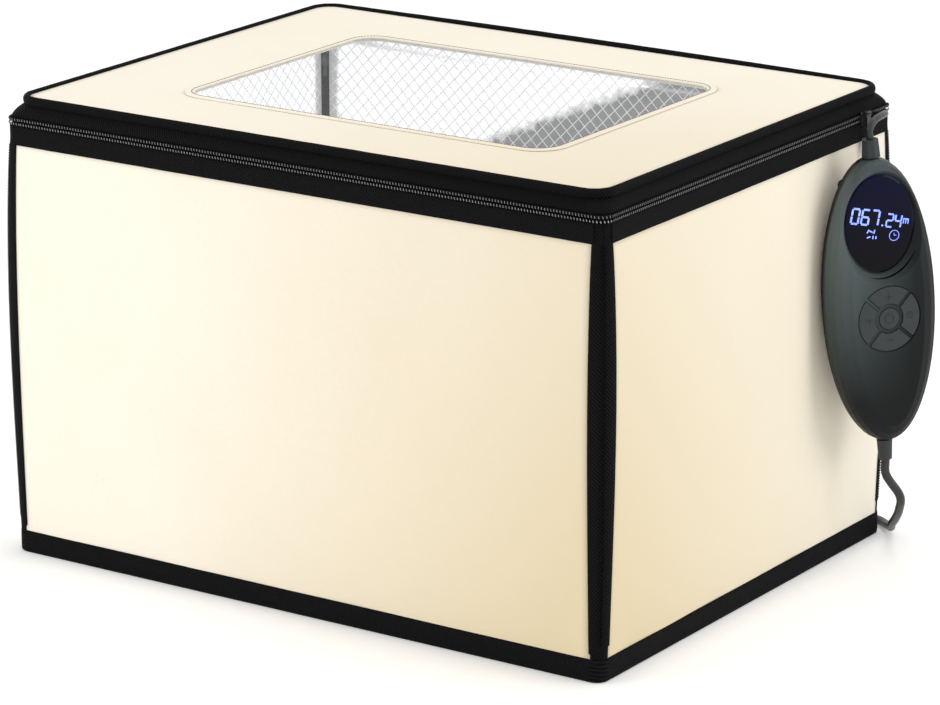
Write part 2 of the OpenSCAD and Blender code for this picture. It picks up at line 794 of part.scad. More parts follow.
function unit(v) = v / norm(v);
function at_ctrl(x, y) = let (u = x * cos(ctrl_lean) - y * sin(ctrl_lean), w = x * sin(ctrl_lean) + y * cos(ctrl_lean))
  [ctrl_x + u * cos(ctrl_turn), ctrl_y + u * sin(ctrl_turn), ctrl_z + w];

// Points along a smooth curve through a route, n to a stretch.
function bend(a, b, c, d, t) = 0.5 * (2 * b + (c - a) * t + (2 * a - 5 * b + 4 * c - d) * t * t
  + (3 * b - a - 3 * c + d) * t * t * t);
function smooth(p, n) = [for (i = [0 : len(p) - 2], k = [0 : n - 1])
  bend(p[max(i - 1, 0)], p[i], p[i + 1], p[min(i + 2, len(p) - 1)], k / n), p[len(p) - 1]];
function headings(p) = [for (i = [0 : len(p) - 1])
  unit(p[min(i + 1, len(p) - 1)] - p[max(i - 1, 0)])];
function normals(t, n, i = 0) = i >= len(t) ? []
  : let (m = unit(n - (n * t[i]) * t[i])) concat([m], normals(t, m, i + 1));

// A closed tube of round section along a list of points.
module tube(p, d, sides, first_t, last_t) {
  h = headings(p);
  last = len(p) - 1;
  t = [for (i = [0 : last]) i == 0 ? unit(first_t) : i == last ? unit(last_t) : h[i]];
  n = normals(t, abs(t[0][2]) > 0.8 ? [1, 0, 0] : [0, 0, 1]);
  rings = [for (i = [0 : last], k = [0 : sides - 1])
    let (a = 360 * (k + 0.5) / sides, b = cross(t[i], n[i]))
    p[i] + d / 2 * (cos(a) * n[i] + sin(a) * b)];
  skin = [for (i = [0 : last - 1], k = [0 : sides - 1])
    let (a = i * sides + k, b = i * sides + (k + 1) % sides) each [[a, b, b + sides], [a, b + sides, a + sides]]];
  first_cap = [for (k = [1 : sides - 2]) [0, k + 1, k]];
  last_cap = [for (k = [1 : sides - 2]) [last * sides, last * sides + k, last * sides + k + 1]];
  polyhedron(rings, concat([for (f = skin) [f[0], f[2], f[1]]], [for (f = first_cap) [f[0], f[2], f[1]]],
    [for (f = last_cap) [f[0], f[2], f[1]]]));
}

// The heater lead: from the mat's gland up the back right corner, out through the zip
// line and forward to the controller's upper relief.
lead_start = [gland_x, mat_d / 2 + gland_l / 2 + 0.5, mat_z + gland_h / 2];
lead_end = at_ctrl(0, ctrl_l / 2 - 3);
lead_low_z = mat_z + 3.6;
lead_x = box_w / 2 - 13;
lead_back_y = box_d / 2 - 18;
lead_route = [lead_start, lead_start + [0, gland_l / 2, 0], lead_start + [0, gland_l / 2 + 4, 0],
  lead_start + [6, gland_l / 2 + 9, 0.6], [gland_x + 19, lead_back_y - 1, lead_low_z],
  [gland_x + 34, lead_back_y, lead_low_z], [lead_x - 16, lead_back_y, lead_low_z + 1],
  [lead_x - 4, lead_back_y, lead_low_z + 10], [lead_x, lead_back_y, lead_low_z + 28],
  [lead_x, lead_back_y, zip_z * 0.32], [lead_x, lead_back_y, zip_z * 0.52], [lead_x, lead_back_y, zip_z * 0.72],
  [lead_x, lead_back_y - 1, zip_z - 31], [lead_x + 1, lead_back_y - 3, zip_z - 10],
  [box_w / 2 - 8, lead_y, zip_z], [box_w / 2 + 1, lead_y, zip_z], [box_w / 2 + 8, lead_y - 3, zip_z + 1.5],
  [box_w / 2 + 15, lead_y - 11, zip_z + 4.5], [box_w / 2 + 19.5, lead_y - 21, zip_z + 6.5],
  at_ctrl(0, ctrl_l / 2 + 19) + [0.5, 5.5, 1], at_ctrl(0, ctrl_l / 2 + 15.5),
  at_ctrl(0, ctrl_l / 2 + relief_top_l + 0.7), lead_end];

module heater_lead() {
  color(black) tube(smooth(lead_route, 3), lead_d, 8, [0, 1, 0], at_ctrl(0, 0) - at_ctrl(0, 10));
}

// The mains cord: down from the controller, round the back right corner and along the
// floor behind the box to the coil.
cord_z = cord_d / 2 + 0.1;
coil_x = 40;
coil_y = box_d / 2 + 50;
loop_pitch = cord_d + loop_gap;
coil_in_r = 4 * cord_d;
layer_turns = (coil_turns - 0.5) / 2;
coil_out_r = coil_in_r + layer_turns * loop_pitch;
cord_start = at_ctrl(0, -ctrl_l / 2 + 3);
cord_route = [cord_start, at_ctrl(0, -ctrl_l / 2 - relief_low_l), at_ctrl(0, -ctrl_l / 2 - relief_low_l - 10),
  [box_w / 2 + 36, box_d / 2 - 44, 40], [box_w / 2 + 32, box_d / 2 - 37, 29],
  [box_w / 2 + 25, box_d / 2 - 28, 20], [box_w / 2 + 18, box_d / 2 - 19, 13],
  [box_w / 2 + 12, box_d / 2 - 9, 7], [box_w / 2 + 4, box_d / 2 + 2, 3.5],
  [box_w / 2 - 7, box_d / 2 + 10, cord_z], [box_w / 2 - 21, coil_y - coil_out_r + 1.25, cord_z],
  [box_w / 2 - 47, coil_y - coil_out_r, cord_z], [box_w / 2 - 77, coil_y - coil_out_r, cord_z],
  [box_w / 2 - 112, coil_y - coil_out_r, cord_z], [coil_x + cord_d, coil_y - coil_out_r, cord_z]];

module mains_cord() {
  color(black) tube(smooth(cord_route, 3), cord_d, 8, at_ctrl(0, -10) - at_ctrl(0, 0), [-1, 0, 0]);
}

// The coil spirals in on the floor, climbs one layer in half a turn and spirals out on top.
function coil_r(t) = t < layer_turns ? coil_out_r - t * loop_pitch
  : t < layer_turns + 0.5 ? coil_in_r : coil_in_r + (t - layer_turns - 0.5) * loop_pitch;
function coil_z(t) = cord_z + loop_pitch * min(1, max(0, 2 * (t - layer_turns)));
loop_rings = 24;
coil_points = [for (k = [0 : coil_turns * loop_rings])
  let (t = k / loop_rings, a = -90 - 360 * t)
  [coil_x + coil_r(t) * cos(a), coil_y + coil_r(t) * sin(a), coil_z(t)]];
coil_end = coil_points[len(coil_points) - 1] + [plug_tail, 0, 0];
coil_line = concat([coil_points[0] + [cord_d, 0, 0]], coil_points, [coil_end]);
coil_gaps = [for (i = [0 : len(coil_points) - 1], j = [i + 16 : len(coil_points) - 1])
  norm(coil_points[i] - coil_points[j]) - cord_d];
echo(least_coil_gap = min(coil_gaps));

module cord_coil() {
  color(black) tube(coil_line, cord_d, 6, [-1, 0, 0], [1, 0, 0]);
}

plug_relief_l = 14;
plug_taper_l = 8;
plug_h = 2 * coil_end[2];
module at_plug() {
  translate([coil_end[0] - 3, coil_end[1], coil_end[2]]) rotate([0, 90, 0]) children();
}

module mains_plug() {
  color(black) at_plug() difference() {
    union() {
      cylinder(h = plug_relief_l + 1, d1 = 7.5, d2 = 10);
      translate([0, 0, plug_relief_l]) hull() {
        linear_extrude(1) rounded(10, 12, 4, 32);
        translate([0, 0, plug_taper_l]) linear_extrude(1) rounded(plug_h, plug_w, 5, 32);
      }
      translate([0, 0, plug_relief_l + plug_taper_l]) linear_extrude(plug_l - plug_taper_l)
        rounded(plug_h, plug_w, 5, 32);
    }
    translate([0, 0, -1]) cylinder(h = 9, d = cord_d + 2 * seat);
    for (s = [-1, 1]) translate([-3.4, s * blade_pitch / 2 - 0.95, plug_relief_l + plug_l - 8])
      cube([6.8, 1.9, 9]);
  }
}

module plug_blades() {
  color("silver") at_plug() for (s = [-1, 1])
    translate([-3.2, s * blade_pitch / 2 - 0.75, plug_relief_l + plug_l - 7.9]) difference() {
      cube([6.4, 1.5, blade_l + 7.9]);
      translate([3.2, -1, blade_l + 4.5]) rotate([-90, 0, 0]) cylinder(h = 4, d = 3.2, $fn = 24);
    }
}

base_board();
base_rails();
base_cover();
base_binding();
floor_lining();
mat_lower_sheet();
mat_upper_sheet();
heating_track();
mat_gland();
back_board();
back_cover();
back_lining();
back_zip_tape();
back_zip_coil();
front_board();
front_cover();
front_lining();
front_zip_tape();
front_zip_coil();
left_board();
left_cover();
left_lining();
left_zip_tape();
left_zip_coil();
right_board();
right_cover();
right_lining();
right_zip_tape();
right_zip_coil();
lid_hinge_strip();
lid_board();
lid_cover();
lid_lining();
lid_skirt();
lid_zip_coil();
rim_piping();
window_film();
window_hem();
lid_slider();
slider_pull();
corner_slider_fl();
corner_slider_fr();
corner_slider_bl();
corner_slider_br();
controller_rear_shell();
controller_front_shell();
display_lens();
circuit_board();
power_button();
plus_button();
minus_button();
unit_button();
timer_button();
strain_reliefs();
housing_screws();
heater_lead();
mains_cord();
cord_coil();
mains_plug();
plug_blades();
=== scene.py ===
import json
import math
import bpy
import bmesh
import numpy as np
from mathutils import Matrix, Vector, noise


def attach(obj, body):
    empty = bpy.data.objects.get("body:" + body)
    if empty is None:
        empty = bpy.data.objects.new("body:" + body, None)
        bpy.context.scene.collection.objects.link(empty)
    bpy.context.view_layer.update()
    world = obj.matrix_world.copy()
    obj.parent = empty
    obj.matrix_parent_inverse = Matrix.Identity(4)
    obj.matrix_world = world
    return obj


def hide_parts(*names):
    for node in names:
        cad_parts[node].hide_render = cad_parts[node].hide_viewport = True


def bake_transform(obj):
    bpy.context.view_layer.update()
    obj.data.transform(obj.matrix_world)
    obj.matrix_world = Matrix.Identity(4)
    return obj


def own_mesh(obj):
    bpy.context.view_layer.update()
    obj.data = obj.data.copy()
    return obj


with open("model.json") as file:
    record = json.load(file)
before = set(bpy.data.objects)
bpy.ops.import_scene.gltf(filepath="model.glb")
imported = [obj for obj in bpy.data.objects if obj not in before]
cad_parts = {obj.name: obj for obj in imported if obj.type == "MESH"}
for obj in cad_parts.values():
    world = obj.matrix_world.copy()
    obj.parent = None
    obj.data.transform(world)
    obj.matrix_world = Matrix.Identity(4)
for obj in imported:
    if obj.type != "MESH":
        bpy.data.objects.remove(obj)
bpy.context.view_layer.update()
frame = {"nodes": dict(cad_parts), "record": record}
NODES = frame["nodes"]


# Camera. A long lens far off, as in the photograph: 33.8 degrees round, 16.5 up.
MM = 0.001
cam_data = bpy.data.cameras.new("camera")
camera = bpy.data.objects.new("camera", cam_data)
bpy.context.collection.objects.link(camera)
bpy.context.scene.camera = camera
around, above, away = math.radians(33.765), math.radians(16.548), 2.5989
target = Vector((0.01179, 0.00122, 0.11437))
back = Vector((math.sin(around) * math.cos(above), -math.cos(around) * math.cos(above),
               math.sin(above)))
camera.location = target + back * away
camera.rotation_mode = "QUATERNION"
camera.rotation_quaternion = (-back).to_track_quat("-Z", "Y")
cam_data.sensor_width = 36.0
cam_data.lens = 36.0 * 4572.1 / 940.0
cam_data.clip_start, cam_data.clip_end = 0.1, 30.0


# Node helpers. Short ways to write a material's nodes; every value is set on its socket.
def new_material(name, colour, rough, metal=0.0):
    made = bpy.data.materials.new(name)
    made.use_nodes = True
    tree = made.node_tree
    shader = tree.nodes["Principled BSDF"]
    shader.inputs["Base Color"].default_value = (*colour, 1)
    shader.inputs["Roughness"].default_value = rough
    shader.inputs["Metallic"].default_value = metal
    return made, tree, shader


def sum_of(tree, operation, a, b=0.0, c=0.0):
    node = tree.nodes.new("ShaderNodeMath")
    node.operation = operation
    for i, value in enumerate((a, b, c)):
        if isinstance(value, (int, float)):
            node.inputs[i].default_value = value
        else:
            tree.links.new(value, node.inputs[i])
    return node.outputs[0]


def axes(tree, kind="UV"):
    coords = tree.nodes.new("ShaderNodeTexCoord")
    split = tree.nodes.new("ShaderNodeSeparateXYZ")
    tree.links.new(coords.outputs[kind], split.inputs[0])
    return split.outputs[0], split.outputs[1], split.outputs[2], coords.outputs[kind]


def noise_of(tree, vector, scale, detail=2.0):
    node = tree.nodes.new("ShaderNodeTexNoise")
    node.inputs["Scale"].default_value = scale
    node.inputs["Detail"].default_value = detail
    tree.links.new(vector, node.inputs["Vector"])
    return node.outputs[0]


def wave(tree, value, pitch):
    return sum_of(tree, "SINE", sum_of(tree, "MULTIPLY", value, 2 * math.pi / pitch))


def ramp(tree, value, low, high, a, b):
    node = tree.nodes.new("ShaderNodeMapRange")
    for i, v in enumerate((low, high, a, b)):
        node.inputs[i + 1].default_value = v
    tree.links.new(value, node.inputs[0])
    return node.outputs[0]


def mixed(tree, factor, a, b):
    node = tree.nodes.new("ShaderNodeMix")
    node.data_type = "RGBA"
    tree.links.new(factor, node.inputs[0])
    for i, value in ((6, a), (7, b)):
        if isinstance(value, tuple):
            node.inputs[i].default_value = (*value, 1)
        else:
            tree.links.new(value, node.inputs[i])
    return node.outputs[2]


def bump(tree, shader, height, depth, strength=1.0):
    node = tree.nodes.new("ShaderNodeBump")
    node.inputs["Strength"].default_value = strength
    node.inputs["Distance"].default_value = depth
    tree.links.new(height, node.inputs["Height"])
    tree.links.new(node.outputs[0], shader.inputs["Normal"])


# Materials. Cream polyester cloth, plain weave with slubs, with painted shade that makes it darker
# and warmer towards the front right corner and the foot, as it is toned in the photograph.
cream, t, s = new_material("cream_cloth", (0.9, 0.8, 0.62), 0.88)
u, v, w, uv = axes(t)
threads = sum_of(t, "MULTIPLY", wave(t, u, 0.0011), wave(t, v, 0.0011))
slub = noise_of(t, uv, 420.0, 3.0)
patch = noise_of(t, uv, 9.0, 3.0)
height = sum_of(t, "MULTIPLY_ADD", threads, 0.35, slub)
bump(t, s, height, 0.00014, 0.5)
tone = sum_of(t, "MULTIPLY_ADD", slub, 0.5, sum_of(t, "MULTIPLY", patch, 0.8))
weave = mixed(t, ramp(t, tone, 0.4, 0.9, 0.0, 1.0), (0.95, 0.9, 0.79), (0.92, 0.85, 0.72))
x, y, z, obj_co = axes(t, "Object")
# Painted shade: darker and warmer towards the front right corner and towards the foot.
off_x, off_y = sum_of(t, "SUBTRACT", x, 0.197), sum_of(t, "ADD", y, 0.152)
gone = sum_of(t, "SQRT", sum_of(t, "ADD", sum_of(t, "MULTIPLY", off_x, off_x),
                                sum_of(t, "MULTIPLY", off_y, off_y)))
painted_corner_shade = sum_of(t, "MULTIPLY", ramp(t, gone, 0.0, 0.3, 0.95, 0.0), ramp(t, z, 0.0, 0.262, 1.25, 0.55))
t.links.new(mixed(t, painted_corner_shade, weave, (0.76, 0.65, 0.44)), s.inputs["Base Color"])
s.inputs["Specular IOR Level"].default_value = 0.2

# Black twill tape: diagonal ribs, a little greyer on their crests.
webbing, t, s = new_material("black_webbing", (0.004, 0.004, 0.005), 0.7)
u, v, w, uv = axes(t)
rib = wave(t, sum_of(t, "ADD", u, sum_of(t, "MULTIPLY", v, 0.7)), 0.0016)
cross = wave(t, v, 0.0009)
height = sum_of(t, "MULTIPLY_ADD", cross, 0.45, rib)
bump(t, s, height, 0.00025, 0.8)
t.links.new(mixed(t, ramp(t, height, 0.5, 1.4, 0.0, 1.0), (0.0025, 0.0025, 0.003),
                  (0.02, 0.02, 0.023)), s.inputs["Base Color"])
s.inputs["Specular IOR Level"].default_value = 0.06

# Zip coil: grey nylon filament, in lighter and darker turns.
coil, t, s = new_material("zip_coil", (0.2, 0.2, 0.2), 0.38)
x, y, z, obj_co = axes(t, "Object")
t.links.new(mixed(t, noise_of(t, obj_co, 900.0), (0.1, 0.1, 0.1), (0.5, 0.5, 0.5)),
            s.inputs["Base Color"])

# Foil lining: bright film heat-sealed in a lattice of diamonds, with a faint painted glow. The back
# one's cells carry a painted dark reflection in the part that the window shows, set by place, not
# mirrored.
foil, t, s = new_material("foil_lining", (0.95, 0.955, 0.965), 0.3, 1.0)
u, v, w, uv = axes(t)
one = sum_of(t, "PINGPONG", sum_of(t, "ADD", u, v), 0.0042)
two = sum_of(t, "PINGPONG", sum_of(t, "SUBTRACT", u, v), 0.0042)
near = sum_of(t, "MINIMUM", one, two)
line = ramp(t, near, 0.0, 0.0007, 1.0, 0.0)
crumple = noise_of(t, uv, 60.0, 4.0)
bump(t, s, sum_of(t, "MULTIPLY_ADD", line, 0.4, crumple), 0.0008, 0.6)
x, y, z, obj_co = axes(t, "Object")
# Painted reflection: a dark diagonal band on the back lining's cells, where the window shows it.
reflection_slant = sum_of(t, "SUBTRACT", sum_of(t, "MULTIPLY", sum_of(t, "ADD", x, 0.072), 0.435),
               sum_of(t, "SUBTRACT", z, 0.19))
reflection_slant = sum_of(t, "MULTIPLY_ADD", noise_of(t, uv, 160.0, 3.0), 0.012, reflection_slant)
painted_reflection = sum_of(t, "MULTIPLY", ramp(t, reflection_slant, -0.005, 0.002, 0.0, 1.0),
             ramp(t, reflection_slant, 0.034, 0.06, 1.0, 0.0))
painted_reflection = sum_of(t, "MULTIPLY", painted_reflection, ramp(t, y, 0.14, 0.145, 0.0, 1.0))
cell = sum_of(t, "SUBTRACT", 1.0, line)
painted_reflection = sum_of(t, "MULTIPLY", painted_reflection, ramp(t, x, -0.115, -0.07, 0.0, 0.78))
painted_reflection = sum_of(t, "MULTIPLY", painted_reflection, ramp(t, x, 0.078, 0.115, 1.0, 0.0))
painted_reflection = sum_of(t, "MULTIPLY", painted_reflection, cell)
t.links.new(mixed(t, painted_reflection, (0.95, 0.955, 0.965), (0.006, 0.006, 0.007)), s.inputs["Base Color"])
t.links.new(sum_of(t, "MULTIPLY", cell, 0.8), s.inputs["Metallic"])
# Painted light: the foil glows faintly, more on its cells and less in the painted reflection.
s.inputs["Emission Color"].default_value = (1, 1, 1, 1)
t.links.new(sum_of(t, "SUBTRACT", sum_of(t, "MULTIPLY_ADD", cell, 0.2, 0.1),
                   sum_of(t, "MULTIPLY", painted_reflection, 0.3)), s.inputs["Emission Strength"])
t.links.new(ramp(t, near, 0.0, 0.0007, 0.7, 0.3), s.inputs["Roughness"])

# Clear film: mostly straight through, with a soft reflection.
film, t, s = new_material("clear_film", (0.9, 0.92, 0.93), 0.08)
clear = t.nodes.new("ShaderNodeBsdfTransparent")
share = t.nodes.new("ShaderNodeMixShader")
x, y, z, obj_co = axes(t, "Object")
t.links.new(ramp(t, noise_of(t, obj_co, 14.0), 0.3, 0.7, 0.07, 0.11), share.inputs[0])
t.links.new(clear.outputs[0], share.inputs[1])
t.links.new(s.outputs[0], share.inputs[2])
t.links.new(share.outputs[0], t.nodes["Material Output"].inputs[0])

# Heating mat: black wipe-clean vinyl with a pebbled grain.
vinyl, t, s = new_material("mat_sheet", (0.02, 0.02, 0.021), 0.5)
x, y, z, obj_co = axes(t, "Object")
bump(t, s, noise_of(t, obj_co, 700.0, 4.0), 0.0002, 0.6)

# Moulded charcoal plastic with a spark-eroded grain, with painted light that makes it lightest at
# the controller's upper left, and painted shade that darkens it to the right and the bottom and
# makes it black on its rear shell.
plastic, t, s = new_material("dark_plastic", (0.06, 0.068, 0.07), 0.42)
x, y, z, obj_co = axes(t, "Object")
grain = noise_of(t, obj_co, 2600.0, 2.0)
bump(t, s, grain, 0.00006, 0.5)
t.links.new(ramp(t, noise_of(t, obj_co, 40.0, 3.0), 0.3, 0.7, 0.36, 0.46), s.inputs["Roughness"])
s.inputs["Specular IOR Level"].default_value = 0.14
x, y, z, obj_co = axes(t, "Object")
# Painted light and shade: lightest at the upper left, darker to the right and the bottom, black on
# the rear shell.
side = sum_of(t, "MULTIPLY_ADD", x, 0.574, sum_of(t, "MULTIPLY", y, 0.819))
ahead = sum_of(t, "MULTIPLY_ADD", x, 0.819, sum_of(t, "MULTIPLY", y, -0.574))
light = sum_of(t, "MULTIPLY", ramp(t, side, 0.18, 0.222, 1.0, 0.06),
               ramp(t, z, 0.1, 0.2, 0.05, 1.0))
light = sum_of(t, "MULTIPLY", light, ramp(t, ahead, 0.1255, 0.1275, 0.0, 1.0))
shade = mixed(t, light, (0.004, 0.005, 0.0055), (0.12, 0.155, 0.16))
t.links.new(mixed(t, sum_of(t, "MULTIPLY", grain, 0.25), shade, (0.012, 0.015, 0.016)),
            s.inputs["Base Color"])

# Key rubber: matt, a shade darker than the housing.
rubber, t, s = new_material("key_rubber", (0.036, 0.043, 0.045), 0.5)
s.inputs["Specular IOR Level"].default_value = 0.25
x, y, z, obj_co = axes(t, "Object")
bump(t, s, noise_of(t, obj_co, 1800.0, 2.0), 0.00008, 0.5)

# Display lens: black glass, blue at the top where the display lights it.
lens, t, s = new_material("black_lens", (0.002, 0.002, 0.004), 0.06)
x, y, z, obj_co = axes(t, "Object")
glow = ramp(t, z, 0.185, 0.232, 0.0, 1.0)
t.links.new(mixed(t, glow, (0.0006, 0.0003, 0.0002), (0.0, 0.0, 0.02)), s.inputs["Emission Color"])
s.inputs["Emission Strength"].default_value = 1.0
s.inputs["Specular IOR Level"].default_value = 0.1

# Lit segments: blue, whiter in the middle of a stroke.
lit, t, s = new_material("display_light", (0.0, 0.0, 0.0), 0.5)
x, y, z, obj_co = axes(t, "Object")
t.links.new(mixed(t, noise_of(t, obj_co, 500.0), (0.08, 0.13, 1.0), (0.3, 0.42, 1.0)),
            s.inputs["Emission Color"])
s.inputs["Emission Strength"].default_value = 2.2

# Painted marks on the keys.
mark, t, s = new_material("mark_paint", (0.006, 0.007, 0.007), 0.6)
x, y, z, obj_co = axes(t, "Object")
bump(t, s, noise_of(t, obj_co, 2000.0), 0.00004, 0.4)

# Zip sliders: black enamel over die-cast zinc.
enamel, t, s = new_material("slider_metal", (0.05, 0.056, 0.058), 0.32, 0.7)
x, y, z, obj_co = axes(t, "Object")
t.links.new(ramp(t, noise_of(t, obj_co, 300.0, 3.0), 0.3, 0.7, 0.25, 0.42), s.inputs["Roughness"])

# Screws and blades: nickel-plated steel, brushed.
steel, t, s = new_material("screw_steel", (0.62, 0.61, 0.58), 0.28, 1.0)
x, y, z, obj_co = axes(t, "Object")
t.links.new(ramp(t, noise_of(t, obj_co, 800.0, 3.0), 0.3, 0.7, 0.2, 0.38), s.inputs["Roughness"])

# Cord jacket: black PVC, slightly glossy.
jacket, t, s = new_material("cord_jacket", (0.014, 0.015, 0.015), 0.38)
x, y, z, obj_co = axes(t, "Object")
bump(t, s, noise_of(t, obj_co, 600.0, 2.0), 0.0001, 0.4)

# Fibre board, circuit board and heating foil, seen only when opened up.
fibre, t, s = new_material("stiff_board", (0.3, 0.27, 0.22), 0.85)
x, y, z, obj_co = axes(t, "Object")
bump(t, s, noise_of(t, obj_co, 500.0, 5.0), 0.0003, 0.6)
green, t, s = new_material("green_board", (0.01, 0.09, 0.03), 0.4)
x, y, z, obj_co = axes(t, "Object")
t.links.new(mixed(t, noise_of(t, obj_co, 350.0), (0.006, 0.07, 0.02), (0.02, 0.13, 0.05)),
            s.inputs["Base Color"])
copper, t, s = new_material("heating_foil", (0.7, 0.33, 0.2), 0.35, 1.0)
x, y, z, obj_co = axes(t, "Object")
t.links.new(ramp(t, noise_of(t, obj_co, 200.0), 0.3, 0.7, 0.25, 0.45), s.inputs["Roughness"])

# Stitching thread, grey-brown.
thread, t, s = new_material("stitch_thread", (0.2, 0.16, 0.11), 0.7)
x, y, z, obj_co = axes(t, "Object")
bump(t, s, wave(t, sum_of(t, "ADD", x, y), 0.0006), 0.0001, 0.6)


# Mesh helpers. Every piece is a grid or a few verts that operators and a placing rule shape.
def link(name, bm, mat, smooth=True):
    mesh = bpy.data.meshes.new(name)
    bm.to_mesh(mesh)
    bm.free()
    mesh.materials.append(mat)
    if smooth:
        mesh.shade_smooth()
    made = bpy.data.objects.new(name, mesh)
    bpy.context.collection.objects.link(made)
    return made


def loft(name, rings, mat, closed=False, cap=(False, False), plan=False, thick=0.0):
    """A grid laid through rings of points in millimetres, with UVs in metres."""
    pts = np.array(rings, float)
    if closed:
        pts = np.concatenate([pts, pts[:, :1]], axis=1)
    rows, cols = pts.shape[0] - 1, pts.shape[1] - 1
    along = np.concatenate([[0], np.cumsum(np.linalg.norm(np.diff(pts[0], axis=0), axis=1))])
    if along[-1] < 1e-6:
        along = np.concatenate([[0], np.cumsum(np.linalg.norm(np.diff(pts[-1], axis=0), axis=1))])
    across = np.concatenate([[0], np.cumsum(np.linalg.norm(np.diff(pts[:, 0], axis=0), axis=1))])
    bm = bmesh.new()
    bmesh.ops.create_grid(bm, x_segments=cols, y_segments=rows, size=0.5)
    uvs = bm.loops.layers.uv.new("UVMap")
    for f in bm.faces:
        for corner in f.loops:
            i = round((corner.vert.co.x + 0.5) * cols)
            j = round((corner.vert.co.y + 0.5) * rows)
            at = pts[j, i]
            corner[uvs].uv = (at[0] * MM, at[1] * MM) if plan else (along[i] * MM, across[j] * MM)
    for vert in bm.verts:
        i, j = round((vert.co.x + 0.5) * cols), round((vert.co.y + 0.5) * rows)
        vert.co = Vector(pts[j, i]) * MM
    if closed:
        bmesh.ops.remove_doubles(bm, verts=bm.verts, dist=1e-7)
    for wanted, ring in zip(cap, (pts[0], pts[-1])):
        if wanted:
            middle = Vector(ring.mean(axis=0)) * MM
            reach = max((Vector(p) * MM - middle).length for p in ring) * 1.001
            rim = [e for e in bm.edges if e.is_boundary
                   and all((q.co - middle).length < reach for q in e.verts)]
            made = bmesh.ops.contextual_create(bm, geom=rim)["faces"]
            for f in made:
                for corner in f.loops:
                    corner[uvs].uv = (corner.vert.co.x, corner.vert.co.y)
    made = link(name, bm, mat)
    if thick:
        solid = made.modifiers.new("thickness", "SOLIDIFY")
        solid.thickness = thick * MM
        solid.offset = -1
    return made


def outline(hw, hd, r, corner=8, straight=24):
    """A rounded rectangle, counter-clockwise from the middle of the back: (x, y) rows."""
    pts = []
    for cx, cy, a0 in ((hw - r, -hd + r, -90), (hw - r, hd - r, 0), (-hw + r, hd - r, 90),
                       (-hw + r, -hd + r, 180)):
        pts.append([(cx + r * math.cos(math.radians(a0 + 90 * k / corner)),
                     cy + r * math.sin(math.radians(a0 + 90 * k / corner)))
                    for k in range(corner + 1)])
    ring = []
    for k in range(4):
        a, b = pts[k - 1][-1], pts[k][0]
        ring += [(a[0] + (b[0] - a[0]) * i / straight, a[1] + (b[1] - a[1]) * i / straight)
                 for i in range(1, straight)]
        ring += pts[k]
    return np.array(ring)


def level(ring, z):
    return np.column_stack([ring, np.full(len(ring), z)])


def grown(ring, out):
    """The ring moved outwards by out, along its own normals."""
    step = np.roll(ring, -1, axis=0) - np.roll(ring, 1, axis=0)
    normal = np.column_stack([step[:, 1], -step[:, 0]]) / np.linalg.norm(step, axis=1)[:, None]
    return ring + normal * out


def tube(name, path, radius, sides, mat, caps=(True, True)):
    """A round tube along a path in millimetres; radius may be a list."""
    path = np.array(path, float)
    radii = np.full(len(path), radius) if np.isscalar(radius) else np.array(radius)
    tangent = np.gradient(path, axis=0)
    tangent /= np.linalg.norm(tangent, axis=1)[:, None]
    side = np.cross(tangent[0], (0, 0, 1) if abs(tangent[0][2]) < 0.9 else (1, 0, 0))
    rings = []
    for p, d, r in zip(path, tangent, radii):
        side = side - d * side.dot(d)
        side /= np.linalg.norm(side)
        up = np.cross(d, side)
        rings.append([p + r * (side * math.cos(a) + up * math.sin(a))
                      for a in [-2 * math.pi * k / sides for k in range(sides)]])
    return loft(name, rings, mat, closed=True, cap=caps)


def smooth_path(points, steps):
    """Catmull-Rom through the points."""
    p = np.array([points[0]] + list(points) + [points[-1]], float)
    out = []
    for i in range(1, len(p) - 2):
        for k in range(steps):
            q = k / steps
            out.append(0.5 * (2 * p[i] + (p[i + 1] - p[i - 1]) * q
                              + (2 * p[i - 1] - 5 * p[i] + 4 * p[i + 1] - p[i + 2]) * q ** 2
                              + (3 * p[i] - p[i - 1] - 3 * p[i + 1] + p[i + 2]) * q ** 3))
    return np.array(out + [p[-2]])


def teeth(name, spots, size, mat):
    """One small rounded tooth at each (point, along, out) in millimetres."""
    bm = bmesh.new()
    for at, along, out in spots:
        up = np.cross(out, along)
        turn = Matrix([[along[i], up[i], out[i]] for i in range(3)]).to_4x4()
        scale = Matrix.Diagonal((size[0] * MM, size[1] * MM, size[2] * MM, 1))
        bmesh.ops.create_icosphere(bm, subdivisions=1, radius=1.0,
                                   matrix=Matrix.Translation(Vector(at) * MM) @ turn @ scale)
    return link(name, bm, mat)


# Controller place. The controller hangs in front of the right wall, turned to face the front.
CTRL = np.array([222.0, 96.0, 157.0])
TURN, LEAN = math.radians(55), math.radians(4.5)


def at_ctrl(x, y, z=0.0):
    across = x * math.cos(LEAN) - y * math.sin(LEAN)
    return (CTRL[0] + across * math.cos(TURN) + z * math.sin(TURN),
            CTRL[1] + across * math.sin(TURN) - z * math.cos(TURN),
            CTRL[2] + x * math.sin(LEAN) + y * math.cos(LEAN))


CTRL_M = Matrix([[*(Vector(at_ctrl(*q)) - Vector(at_ctrl(0, 0, 0)))] for q in
                 ((1, 0, 0), (0, 1, 0), (0, 0, 1))]).transposed().to_4x4()
CTRL_M = Matrix.Translation(Vector(at_ctrl(0, 0, 0)) * MM) @ Matrix.Scale(MM, 4) @ CTRL_M


